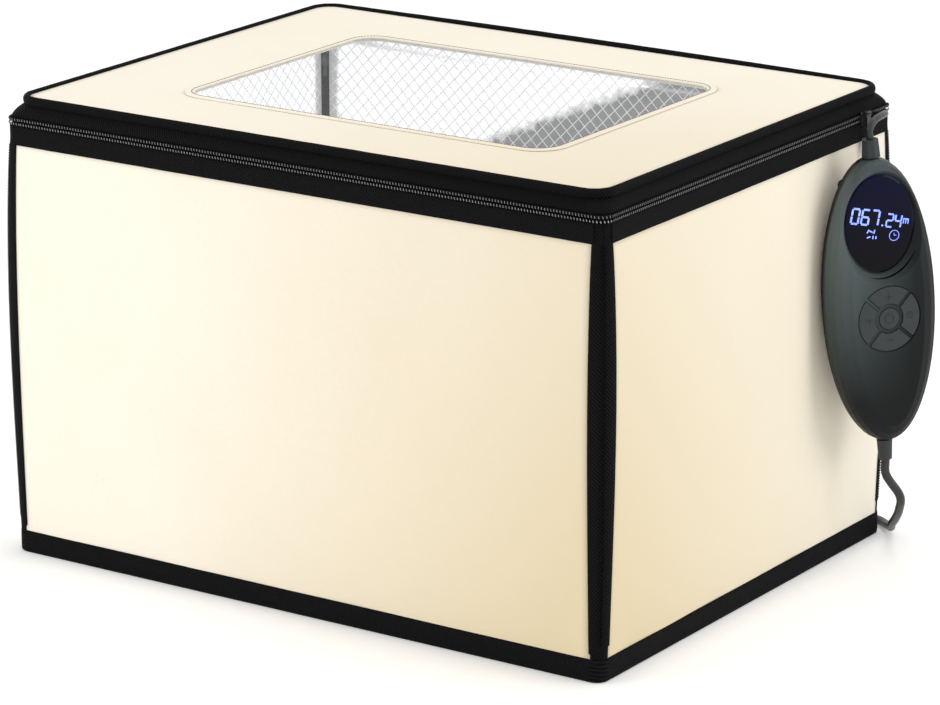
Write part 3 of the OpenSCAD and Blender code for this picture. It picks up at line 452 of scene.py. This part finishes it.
# Cords. Heater lead: round PVC cable from the mat's gland up the corner, out under
# the lid's zip and into the controller's upper collar.
bend = at_ctrl(0, 101.5)
lead_route = [[118, 112.5, 6.8], [118, 119.5, 6.8], [118, 123.5, 6.8], [124, 128.5, 7.4],
              [137, 133, 8], [152, 134, 8], [168, 134, 9], [180, 134, 18], [184, 134, 36],
              [184, 134, 81], [184, 134, 131.6], [184, 134, 182.2], [184, 133, 222],
              [185, 131, 243], [189, 128, 253], [198, 128, 253], [205, 125, 254.5],
              [212, 117, 257.5], [216.5, 107, 259.5], [bend[0] + 0.5, bend[1] + 5.5, bend[2] + 1],
              at_ctrl(0, 98), at_ctrl(0, 93.2), at_ctrl(0, 79.5)]
lead_path = smooth_path(lead_route, 8)
lead = tube("heater_lead_piece", lead_path, 2.0, 14, jacket)
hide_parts("heater_lead")
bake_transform(lead)

# Mains cord: from the lower collar down to the floor, behind the box and into
# a loose coil that ends at the plug.
mains_route = [at_ctrl(0, -79.5), at_ctrl(0, -94.5), at_ctrl(0, -104.5), [233, 108, 40],
               [229, 115, 29], [222, 124, 20], [215, 133, 13], [209, 143, 7], [201, 154, 3.5],
               [190, 162, 2.6], [176, 163.65, 2.6], [150, 162.4, 2.6], [120, 162.4, 2.6],
               [85, 162.4, 2.6], [45, 162.4, 2.6]]
TURNS, STEPS = 7.5, 48
coil_path = []
LOOP = 5.6
for k in range(int(TURNS * STEPS) + 1):
    q = k / STEPS
    r = 39.6 - LOOP * q if q < 3.5 else 20 if q < 4 else 20 + LOOP * (q - 4)
    a = math.radians(-90 - 360 * q)
    coil_path.append([40 + r * math.cos(a), 202 + r * math.sin(a),
                      2.6 + LOOP * min(max(2 * (q - 3.5), 0), 1)])
plug_end = [[50, 241.6, 8.2], [62, 241.6, 8.2]]
cord_path = np.concatenate([smooth_path(mains_route, 8)[:-1], coil_path, plug_end])
cord = tube("mains_cord_piece", cord_path, 2.5, 12, jacket)
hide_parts("mains_cord", "cord_coil")
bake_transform(cord)


# Wall skin. Every soft piece of the walls lies on one skin that bellies out a little.
CORNER = 8
HALF_W, HALF_D, ROUND = 197, 152, 6.5
PANEL_W, PANEL_D = HALF_W - ROUND, HALF_D - ROUND
WALLS = ("front", "right", "back", "left")
BODY = {"front": "front_wall", "right": "right_wall", "back": "base", "left": "left_wall"}
FOLD_Z = {"front": 14.7, "right": 18.2, "left": 11.2}
WALL_DIR = {"front": (0, -1), "right": (1, 0), "back": (0, 1), "left": (-1, 0)}
CORNERS = ((PANEL_W, -PANEL_D, -90), (PANEL_W, PANEL_D, 0), (-PANEL_W, PANEL_D, 90),
           (-PANEL_W, -PANEL_D, 180))


def panel_half(k):
    """Half the length of wall k's board."""
    return PANEL_W if k % 2 == 0 else PANEL_D


def bow(z):
    q = min(max((z - 13) / 229, 0), 1)
    return 4.4 * math.sin(math.pi * q) ** 0.8 * (0.4 + 0.6 * q)


def wall_line(k, count, half):
    """Straight points along wall k, counter-clockwise, and its outward normal."""
    out = np.array(WALL_DIR[WALLS[k]], float)
    along = np.array([-out[1], out[0]])
    mid = out * (HALF_D if k % 2 == 0 else HALF_W)
    return [mid + along * (-half + 2 * half * i / count) for i in range(count + 1)], out


# Creases of the cloth, as (along 0-1, z) to (along, z), width and height.
CREASES = {
    "front": ((0.9, 205, 0.99, 232, 5, 0.5), (0.02, 190, 0.1, 232, 7, 0.35),
              (0.8, 30, 0.97, 16, 7, 0.4)),
    "right": ((0.02, 226, 0.09, 205, 3, 0.7), (0.02, 214, 0.07, 190, 3, 0.5),
              (0.03, 60, 0.1, 20, 6, 0.5), (0.85, 20, 0.98, 50, 6, 0.5)),
    "back": ((0.1, 220, 0.2, 200, 8, 0.4),),
    "left": ((0.9, 200, 0.98, 230, 6, 0.5),),
}


def cloth_out(side, q, z):
    """How far the cloth stands off its board at share q along the wall."""
    edge = min(q, 1 - q) * 12
    edge = min(edge, 1)
    puff = bow(z) * (1 + 0.35 * math.sin(math.pi * q)) + 0.05
    puff += 0.35 * noise.noise(Vector((q * 7, z / 45, WALLS.index(side) * 9))) * edge
    if side == "right":  # the controller leans on the cloth here
        press = math.exp(-(max(abs(q - 0.83) - 0.08, 0) / 0.07) ** 2)
        puff *= 1 - press * min(max((z - 55) / 25, 0), 1)
    for a, za, b, zb, wide, high in CREASES[side]:
        ax, bx, px = a * 380, b * 380, q * 380
        d = np.array([bx - ax, zb - za])
        f = min(max(((px - ax) * d[0] + (z - za) * d[1]) / d.dot(d), 0), 1)
        gap = math.hypot(px - ax - f * d[0], z - za - f * d[1])
        puff += high * math.exp(-(gap / wide) ** 2) * math.sin(math.pi * min(max(f, 0.15), 0.85))
    return puff


# Wall cloths. Cream cloth over each board, from inside the bottom binding to under the
# zip band.
for k, side in enumerate(WALLS):
    line_pts, out = wall_line(k, 64, panel_half(k))
    rings = []
    for z in np.concatenate([[10.5, 12.5, 14, 15.5, 17, 18.5], np.linspace(21, 241.5, 46)]):
        rings.append([(*(p + out * cloth_out(side, i / 64, z)), z)
                      for i, p in enumerate(line_pts)])
    cloth = loft(side + "_cloth", rings, cream, thick=0.45)
    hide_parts(side + "_cover")
    if side == "back":
        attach(cloth, "base")
    else:
        edge = Vector((out[0] * HALF_W, out[1] * HALF_D, 0)) * MM
        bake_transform(cloth)

# Wall linings. Quilted foil glued to the inner face of each board,
# from just above its fold to under the zip band.
LINING_FOOT = {"front": 16.7, "right": 20.2, "back": 3.9, "left": 13.2}
for k, side in enumerate(WALLS):
    line_pts, out = wall_line(k, 40, panel_half(k))
    rings = [[(*(p - out * (3.0 - 0.12 * noise.noise(Vector((i / 3, z / 20, k * 5))))), z)
              for i, p in reversed(list(enumerate(line_pts)))]
             for z in np.linspace(LINING_FOOT[side], 250.4, 26)]
    lining = loft(side + "_lining_foil", rings, foil, thick=0.4)
    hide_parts(side + "_lining")
    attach(lining, BODY[side])

# Zip bands. Twill tape sewn along each wall's top edge and folded over it to the inside.
# Black webbing; it rides its wall and carries that wall's half of the lid zip.
BAND = ((0.35, 239.6), (0.75, 240.1), (0.8, 243), (0.78, 247), (0.72, 249.8), (0.3, 250.75),
        (-0.6, 250.95), (-2.6, 250.95), (-3.5, 250.6), (-3.75, 250), (-3.75, 249.2), (-3.4, 248.8))
for k, side in enumerate(WALLS):
    line_pts, out = wall_line(k, 96, panel_half(k) + 0.5)
    rings = [[(*(p + out * (o + (cloth_out(side, i / 96, 240.5) if o > 0.3 else 0)
                            + 0.12 * noise.noise(Vector((i / 4, z / 4, k * 3))))), z)
              for i, p in enumerate(line_pts)] for o, z in BAND]
    band = loft(side + "_zip_band", rings, webbing)
    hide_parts(side + "_zip_tape")
    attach(band, BODY[side])

# Corner tapes. Half of each corner's zip tape belongs to each wall.


def corner_point(c, angle, z, tail=0.0, lift=0.55):
    """A point of the corner skin; tail runs on along the wall past the arc."""
    cx, cy, a0 = CORNERS[c]
    a = math.radians(a0 + angle)
    r = ROUND + lift + bow(z)
    turn = -1 if angle < 45 else 1
    return (cx + r * math.cos(a) - turn * tail * math.sin(a),
            cy + r * math.sin(a) + turn * tail * math.cos(a), z)


def corner_soft(piece, side):
    """Rides the wall; on a folding wall it also gets its own copy of the mesh."""
    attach(piece, BODY[side])
    if side != "back":
        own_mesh(piece)


Z_STRIP = np.concatenate([[9, 13], np.linspace(16, 250.75, 60)])
for c in range(4):
    for side, angles in ((WALLS[c], (0, 8, 16, 24, 32, 40, 44.2)),
                         (WALLS[(c + 1) % 4], (45.8, 50, 58, 66, 74, 82, 90))):
        first = angles[0] == 0
        z_low = 9 if side == "back" else FOLD_Z[side]
        rows = [z for z in Z_STRIP if z > z_low]
        rings = []
        for z in rows:
            run = [corner_point(c, a, z) for a in angles]
            tails = [corner_point(c, 0 if first else 90, z, tl, 0.55 if tl < 0.8 else 0.2)
                     for tl in ((0.9, 0.75, 0.4) if first else (0.4, 0.75, 0.9))]
            rings.append(tails + run if first else run + tails)
        strip = loft("corner_tape_%d_%s" % (c, side), rings, webbing, thick=0.5)
        corner_soft(strip, side)

# Each corner's foot, a turn of tape stitched into the bottom binding.
for c in range(4):
    rings = [[corner_point(c, a, z, 0, 0.25) for a in range(0, 91, 9)] for z in (9, 12, 15, 18, 21)]
    foot_tape = loft("corner_foot_%d" % c, rings, webbing, thick=0.5)
    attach(foot_tape, "base")

# Underlap behind each corner zip.
for c in range(4):
    rings = [[corner_point(c, a, z, 0, -0.15) for a in range(30, 61, 5)] for z in Z_STRIP[2:]]
    flap = loft("corner_flap_%d" % c, rings, webbing, thick=0.4)
    corner_soft(flap, WALLS[c])

# Corner zip teeth. Fine nylon coils that close each vertical corner, the slider parked inside.
# Dark, and they ride the wall with the corner tape that they are sewn to.
for c in range(4):
    cx, cy, a0 = CORNERS[c]
    for side, angle, shift in ((WALLS[c], 38.5, 0.0), (WALLS[(c + 1) % 4], 51.5, 0.8)):
        a = math.radians(a0 + angle)
        spots = [(corner_point(c, angle, z, 0, 0.75), (0, 0, 1), (math.cos(a), math.sin(a), 0))
                 for z in np.arange(21 + shift, 239, 1.6)]
        rows = teeth("corner_teeth_%d_%s" % (c, side), spots, (0.5, 0.62, 0.35), webbing)
        corner_soft(rows, side)

# Lid zip teeth. Two rows of grey coil meet round the front and sides, each on a black core.
# Grey nylon; the upper row rides the lid and the lower one its wall.
RUN = outline(HALF_W + 0.25, HALF_D + 0.25, ROUND + 0.25, 16, 96)


def stations(ring, pitch, start=0.0):
    """A point every pitch along a closed ring, each with its direction."""
    ends = np.vstack([ring, ring[:1]])
    found, want, gone = [], start, 0.0
    for a, b, step in zip(ends, ends[1:], np.linalg.norm(np.diff(ends, axis=0), axis=1)):
        while want < gone + step:
            found.append((a + (b - a) * (want - gone) / step, (b - a) / step))
            want += pitch
        gone += step
    return found


def zip_spots(z, pitch, shift, lift):
    """Teeth spots along the outline at height z, as (point, along, out)."""
    return [((p[0] + d[1] * lift, p[1] - d[0] * lift, z),
             Vector((d[0], d[1], 0.28)).normalized(), (d[1], -d[0], 0))
            for p, d in stations(RUN, pitch, shift) if p[1] < 150.2]


LID_ROW, WALL_ROW, ZIP_PITCH = 254.2, 251.8, 1.9
for z, label, shift in ((LID_ROW, "lid", 0.0), (WALL_ROW, "wall", ZIP_PITCH / 2)):
    spots = zip_spots(z, ZIP_PITCH, shift, 0.55)
    groups = {"lid": spots} if label == "lid" else {
        "front": [q for q in spots if q[0][1] < -148 and abs(q[0][0]) <= 195.4],
        "right": [q for q in spots if q[0][0] > 195.4],
        "left": [q for q in spots if q[0][0] < -195.4]}
    for name, chosen in groups.items():
        row = teeth("zip_teeth_" + name, chosen, (0.42, 0.85, 0.5), coil)
        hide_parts(name + "_zip_coil")
        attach(row, "lid" if name == "lid" else BODY[name])
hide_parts("back_zip_coil")

# Core cords that the coils are woven round, so no light shows between teeth.
for z, name in ((LID_ROW, "lid"), (WALL_ROW, "front"), (WALL_ROW, "right"), (WALL_ROW, "left")):
    if name == "lid":
        n_side = 16 + 96
        order = list(range(2 * n_side + 96 + 8, 4 * n_side)) + list(range(0, n_side + 96 + 8))
        path = [(*RUN[i], z) for i in order]
    else:
        wall = WALLS.index(name)
        line_pts, out = wall_line(wall, 40, panel_half(wall))
        path = [(*(p + out * 0.2), z) for p in line_pts]
    core = tube("zip_core_" + name, path, 0.98, 8, webbing)
    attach(core, "lid" if name == "lid" else BODY[name])

# Tape behind the coils: one strip round the lid's three sides, one to a wall.
BACKING = outline(HALF_W - 0.8, HALF_D - 0.8, ROUND - 0.8, 16, 40)
order = list(range(2 * 56 + 40 + 8, 4 * 56)) + list(range(0, 56 + 40 + 8))
lid_back = loft("zip_backing_lid", [level(BACKING[order], z) for z in (253.05, 254.5, 256.2)],
                webbing, thick=0.4)
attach(lid_back, "lid")
for k, side in enumerate(WALLS):
    if side == "back":
        continue
    idx = [((k - 1) * 56 + 39 + 8 + i) % len(BACKING) for i in range(57)]
    strip = loft("zip_backing_" + side, [level(BACKING[idx], z) for z in (249.5, 251, 252.95)],
                 webbing, thick=0.4)
    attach(strip, BODY[side])
    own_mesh(strip)

# Base. Cloth tray under the bottom board, and the woven binding round its foot.
# Sewn together at the foot; they, the foil and the mat ride the base.
FOOT = outline(HALF_W, HALF_D, ROUND, CORNER, 60)
under = loft("base_cloth", [level(FOOT * q, 0.45) for q in (1, 0.98, 0.85, 0.6, 0.3, 0.05)],
             cream, closed=True, cap=(False, True), plan=True, thick=-0.4)
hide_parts("base_cover")
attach(under, "base")
rings = []
for o, z in ((-6, 0.25), (-1.5, 0.15), (0.1, 0.1), (0.55, 0.5), (0.78, 1.4), (0.8, 4), (0.82, 7),
             (0.8, 10), (0.76, 12.2), (0.5, 12.9), (0.1, 13.0), (-0.3, 12.6)):
    ring = grown(FOOT, o)
    rings.append([(*(p + (0.12 if o > 0 else 0) * noise.noise(Vector((i / 3, z / 5, 2)))), z)
                  for i, p in enumerate(ring)])
binding = loft("base_binding_tape", rings, webbing, closed=True)
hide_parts("base_binding")
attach(binding, "base")

# Floor lining: the same quilted foil, lying on the bottom board.
rings = [[(x, y, 4.35 + 0.25 * noise.noise(Vector((x / 26, y / 26, 7))))
          for x in np.linspace(-193.8, 193.8, 48)] for y in np.linspace(-148.8, 148.8, 38)]
floor_foil = loft("floor_foil", rings, foil, thick=0.4)
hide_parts("floor_lining")
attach(floor_foil, "base")

# Heating mat: two vinyl sheets welded round the edge over the track.
PAD = outline(145, 105, 15, 8, 20)
mat_rings = [level(PAD, 4.45), level(grown(PAD, 0.1), 5.2), level(grown(PAD, -0.6), 6.3),
             level(grown(PAD, -6.5), 6.6), level(grown(PAD, -8.0), 7.2),
             level(grown(PAD, -9.5), 7.58)]
mat_rings += [level(grown(PAD, -o), 7.6) for o in (10.0, 14.0)]
mat_piece = loft("heating_mat", mat_rings, vinyl, closed=True, cap=(True, True), plan=True)
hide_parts("mat_lower_sheet", "mat_upper_sheet")
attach(mat_piece, "base")

# Lid skirt. Smooth tape from the lid's zip up to the piping; the corners round off wider.
# Black webbing, sewn to the zip below and under the piping above.
low, high = outline(HALF_W, HALF_D, 8, 12, 48), outline(193, 148, 13, 12, 48)
rings = [level(grown(low, -1.2), 255.5)]
for q in np.linspace(0, 1, 9):
    ring = low + (high - low) * q ** 1.25
    puff = 0.55 * math.sin(math.pi * q)
    z = 255.5 + 6.6 * q
    rings.append([(*(p + p / np.linalg.norm(p)
                     * (puff + 0.16 * noise.noise(Vector((i / 5, z / 3, 4))))), z)
                  for i, p in enumerate(ring)])
rings.append(level(grown(high, -2.4), 263.0))
skirt = loft("lid_skirt_tape", rings, webbing, closed=True)
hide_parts("lid_skirt")
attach(skirt, "lid")

# Rim piping. Woven tape sewn round a cord, proud of the lid all the way round.
# Black webbing, arched a little along the back as in the photograph.
RIM = outline(192, 147, 12, 12, 60)
rings = []
for a in np.linspace(-90, 270, 17):
    ring = grown(RIM, 2.1 * math.cos(math.radians(a)))
    rings.append([(*p, 264.3 + max(p[1] - 130, 0) / 17 * math.cos(p[0] / 125)
                   + 2.9 * math.sin(math.radians(a))
                   * (1 + 0.04 * noise.noise(Vector((i / 2, a / 60, 1)))))
                  for i, p in enumerate(ring)])
piping = loft("rim_piping_tape", rings, webbing, closed=True)
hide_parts("rim_piping")
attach(piping, "lid")

# Lid cloths. Cream cloth stretched over the lid board, dimpled where the window is sewn.
# Foil is glued to the board's underside, round the same opening.
OUTER = outline(190.6, 145.6, 10.6, 12, 60)
INNER = outline(122.5, 91.5, 16.5, 12, 60)
rings = []
for q in np.linspace(0, 1, 15):
    ring = OUTER + (INNER - OUTER) * q
    rings.append([(*p, 265.55 + 0.75 * math.sin(math.pi * min(q * 1.02, 1)) ** 0.6
                   + 0.22 * noise.noise(Vector((p[0] / 30, p[1] / 30, 3))) * math.sin(math.pi * q))
                  for p in ring])
lid_top = loft("lid_cloth", rings, cream, closed=True, plan=True, thick=0.4)
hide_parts("lid_cover")
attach(lid_top, "lid")
rings = [level(INNER + (OUTER - INNER) * q, 263.1) for q in np.linspace(0, 1, 8)]
lid_foil = loft("lid_foil", rings, foil, closed=True, plan=True)
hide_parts("lid_lining")
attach(lid_foil, "lid")

# Window. Clear film let into the lid under a turned hem with a row of stitches.
# The film sags a little; the hem is cream cloth and the thread is brown.
PANE = outline(127, 96, 21, 12, 30)
rings = [[(*(p * q), 265.25 - 0.9 * (1 - q * q) + (1 - q ** 6)
           * 0.45 * noise.noise(Vector((p[0] * q / 60, p[1] * q / 45, 5))))
          for p in PANE] for q in np.linspace(1, 0.04, 22)]
pane = loft("window_pane", rings, film, closed=True, cap=(False, True), plan=True)
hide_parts("window_film")
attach(pane, "lid")
HEM = outline(120, 89, 14, 12, 60)
rings = [level(grown(HEM, o), z) for o, z in
         ((5.2, 265.9), (5.0, 266.3), (4.0, 266.5), (2.5, 266.55), (1.0, 266.5), (0.2, 266.2),
          (0.0, 265.7), (0.3, 265.2))]
hem = loft("window_hem_cloth", rings, cream, closed=True)
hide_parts("window_hem")
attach(hem, "lid")
SEAM = grown(outline(120, 89, 14, 24, 110), 1.4)
STITCH = 1.9
spots = [((*p, 266.62), (d[0], d[1], 0), (0, 0, 1)) for p, d in stations(SEAM, STITCH)]
stitches = teeth("window_stitches", spots, (0.95, 0.28, 0.2), thread)
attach(stitches, "lid")

# Lid hinge strip. Tape across the back that the lid turns on.
# Black webbing, sewn to the back wall's band below and to the lid above.
line_pts, out = wall_line(2, 60, PANEL_W)
rings = [[(*(p + out * (o + 0.1 * noise.noise(Vector((i / 4, z / 3, 8))))), z)
          for i, p in enumerate(line_pts)]
         for o, z in ((0.9, 240.2), (1.1, 243), (1.1, 247), (1.1, 250), (1.0, 251.5), (0.9, 253),
                      (0.9, 254.4), (0.8, 255.6), (0.4, 256.4))]
hinge = loft("hinge_tape", rings, webbing, thick=0.6)
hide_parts("lid_hinge_strip")
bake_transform(hinge)

# Sewn tapes. The tapes sewn to each cloth.
SEWN = {side: [side + "_zip_band"] for side in WALLS}
for c in range(4):
    for side in (WALLS[c], WALLS[(c + 1) % 4]):
        SEWN[side].append("corner_tape_%d_%s" % (c, side))
SEWN["back"].append("hinge_tape")

# Hard CAD parts. The moulded and metal parts show as CAD, with broken edges and their finish.
FINISH = {
    "stiff_board": (fibre, 0), "dark_plastic": (plastic, 0.35), "key_rubber": (rubber, 0.25),
    "black_lens": (lens, 0.3), "green_board": (green, 0), "slider_metal": (enamel, 0.25),
    "screw_steel": (steel, 0.1), "blade_metal": (steel, 0.3), "heating_foil": (copper, 0),
    "cord_jacket": (jacket, 0.3),
}
SLOTS = {e["node"]: e["material_slot"] for e in frame["record"]["subparts"]}
for name, node in NODES.items():
    if node.hide_render:
        continue
    finish, edge = FINISH[SLOTS[name]]
    node.data.materials.clear()
    node.data.materials.append(finish)
    node.data.shade_smooth()
    node.data.set_sharp_from_angle(angle=math.radians(32))
    if edge:
        soft = node.modifiers.new("broken_edges", "BEVEL")
        soft.width = edge * MM
        soft.segments = 2
        soft.limit_method = "ANGLE"
        soft.angle_limit = math.radians(32)


# Display. Blue segments behind the lens, drawn as thin lit bars just above it.
BARS = {"a": (0, 1, 0), "b": (1, 0.5, 1), "c": (1, -0.5, 1), "d": (0, -1, 0),
        "e": (-1, -0.5, 1), "f": (-1, 0.5, 1), "g": (0, 0, 0)}
DIGITS = {"0": "abcdef", "6": "acdefg", "7": "abc", "2": "abged", "4": "fgbc"}
lit_bm = bmesh.new()


def bar(bm, x, y, long, wide, turn, high, z):
    """A thin bar on the controller's face, in its own millimetres."""
    place = (Matrix.Translation((x, y, z)) @ Matrix.Rotation(turn, 4, "Z")
             @ Matrix.Diagonal((long, wide, high, 1)))
    bmesh.ops.create_cube(bm, size=1.0, matrix=CTRL_M @ place)


def digit(bm, char, cx, cy, tall, turn, z):
    wide = tall * 0.52
    for key in DIGITS[char]:
        dx, dy, stands = BARS[key]
        x, y = dx * wide / 2, dy * tall / 2
        c, q = math.cos(turn), math.sin(turn)
        long = (tall / 2 if stands else wide) * 0.86
        bar(bm, cx + x * c - y * q, cy + x * q + y * c, long, tall * 0.13,
            turn + (math.pi / 2 if stands else 0), 0.12, z)


SLOPE = math.radians(-15)
FACE = 11.1
for char, x, y, tall in (("0", -16.4, 53.6, 8.4), ("6", -10.3, 52.0, 8.4), ("7", -4.4, 50.6, 8.4),
                         ("2", 4.4, 47.6, 7.2), ("4", 9.4, 46.4, 7.2)):
    digit(lit_bm, char, x, y, tall, SLOPE, FACE)
bar(lit_bm, -0.4, 45.6, 1.0, 0.9, 0, 0.12, FACE)
for dx in (0, 1.4, 2.8):
    bar(lit_bm, 12.7 + dx, 45.8 - dx * 0.25, 2.6, 0.6, math.pi / 2 + SLOPE, 0.12, FACE)
bar(lit_bm, 14.3, 46.8, 3.2, 0.6, SLOPE, 0.12, FACE)
for dx, dy, long, turn in ((-9.2, 43.6, 2.2, 0.9), (-7.4, 43.2, 2.2, -0.6), (-5.4, 42.8, 2.2, 1.2),
                           (-9.0, 40.2, 2.2, 0.2), (-6.4, 39.7, 1.8, 1.4), (-4.6, 39.3, 1.6, 1.5)):
    bar(lit_bm, dx, dy, long, 0.7, turn, 0.12, FACE)
for k in range(18):
    a = 2 * math.pi * k / 18
    bar(lit_bm, 6.6 + 2.9 * math.cos(a), 38.6 + 2.9 * math.sin(a), 1.0, 0.32, a + math.pi / 2,
        0.1, FACE)
bar(lit_bm, 6.6, 39.2, 1.6, 0.3, math.pi / 2, 0.1, FACE)
bar(lit_bm, 7.2, 38.6, 1.3, 0.3, 0, 0.1, FACE)
display = link("display_digits", lit_bm, lit, smooth=False)
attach(display, "right_wall")

# Key marks. Shallow dark marks on the keys: power, plus, minus, unit and timer.
PAD_Y, KEY_Z = -8.0, 13.95


def key_marks(name, body, bars):
    bm = bmesh.new()
    for x, y, long, wide, turn in bars:
        bar(bm, x, y + PAD_Y, long, wide, turn, 0.1, KEY_Z)
    made = link(name, bm, mark, smooth=False)
    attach(made, body)


def ring_bars(cx, cy, r, start, end, count, wide):
    step = math.radians(end - start) / count
    return [(cx + r * math.cos(math.radians(start) + step * (k + 0.5)),
             cy + r * math.sin(math.radians(start) + step * (k + 0.5)), r * step * 1.15, wide,
             math.radians(start) + step * (k + 0.5) + math.pi / 2) for k in range(count)]


key_marks("power_mark", "power_key", ring_bars(0, 0, 2.6, 115, 425, 22, 0.55)
          + [(0, 2.3, 2.6, 0.55, math.pi / 2)])
key_marks("plus_mark", "plus_key", [(0, 12.6, 4.2, 0.7, 0), (0, 12.6, 4.2, 0.7, math.pi / 2)])
key_marks("minus_mark", "minus_key", [(0, -12.6, 4.2, 0.7, 0)])
key_marks("unit_mark", "unit_key", ring_bars(-14.2, 1.4, 0.7, 0, 360, 8, 0.3)
          + [(-12.2, 0, 3.0, 0.45, math.pi / 2), (-11.3, 1.4, 1.8, 0.45, 0),
             (-11.5, 0.2, 1.4, 0.45, 0)])
key_marks("timer_mark", "timer_key", ring_bars(12.8, 0, 1.9, 0, 360, 16, 0.35)
          + [(12.8, 0.6, 1.3, 0.35, math.pi / 2), (13.3, 0, 1.0, 0.35, 0)])

# Stage and light. White floor that keeps the contact shadow, white surroundings, soft lamps.
floor_bm = bmesh.new()
bmesh.ops.create_grid(floor_bm, x_segments=1, y_segments=1, size=6.0)
floor_mat, t, s = new_material("floor_white", (0.93, 0.93, 0.93), 0.9)
x, y, z, obj_co = axes(t, "Object")
bump(t, s, noise_of(t, obj_co, 300.0), 0.0001, 0.1)
s.inputs["Emission Color"].default_value = (1, 1, 1, 1)
s.inputs["Emission Strength"].default_value = 0.2
floor = link("floor", floor_bm, floor_mat, smooth=False)
floor.location.z = -0.0002
world = bpy.data.worlds.new("surroundings")
bpy.context.scene.world = world
world.use_nodes = True
t = world.node_tree
seen = t.nodes["Background"]
seen.inputs["Color"].default_value = (1, 1, 1, 1)
seen.inputs["Strength"].default_value = 1.0
fill = t.nodes.new("ShaderNodeBackground")
fill.inputs["Color"].default_value = (1, 0.99, 0.975, 1)
fill.inputs["Strength"].default_value = 0.68
path_node = t.nodes.new("ShaderNodeLightPath")
any_seen = sum_of(t, "MAXIMUM", path_node.outputs["Is Camera Ray"],
                  path_node.outputs["Is Transmission Ray"])
any_seen = sum_of(t, "MAXIMUM", any_seen, path_node.outputs["Is Glossy Ray"])
mix_node = t.nodes.new("ShaderNodeMixShader")
t.links.new(any_seen, mix_node.inputs[0])
t.links.new(fill.outputs[0], mix_node.inputs[1])
t.links.new(seen.outputs[0], mix_node.inputs[2])
t.links.new(mix_node.outputs[0], t.nodes["World Output"].inputs[0])
for name, place, size, power, tint in (("key_lamp", (-1.0, -1.3, 0.8), 0.9, 8.6, (1, 0.99, 0.975)),
                                       ("side_lamp", (1.7, 0.55, 1.0), 1.0, 8.5, (1, 0.99, 0.97)),
                                       ("top_lamp", (0.2, 0.6, 2.8), 1.6, 16, (1, 1, 1))):
    data = bpy.data.lights.new(name, "AREA")
    data.size, data.energy, data.color = size, power, tint
    lamp = bpy.data.objects.new(name, data)
    bpy.context.collection.objects.link(lamp)
    lamp.location = place
    lamp.rotation_mode = "QUATERNION"
    lamp.rotation_quaternion = (Vector((0.03, 0, 0.12)) - Vector(place)).to_track_quat("-Z", "Y")
bpy.context.scene.view_settings.view_transform = "Standard"
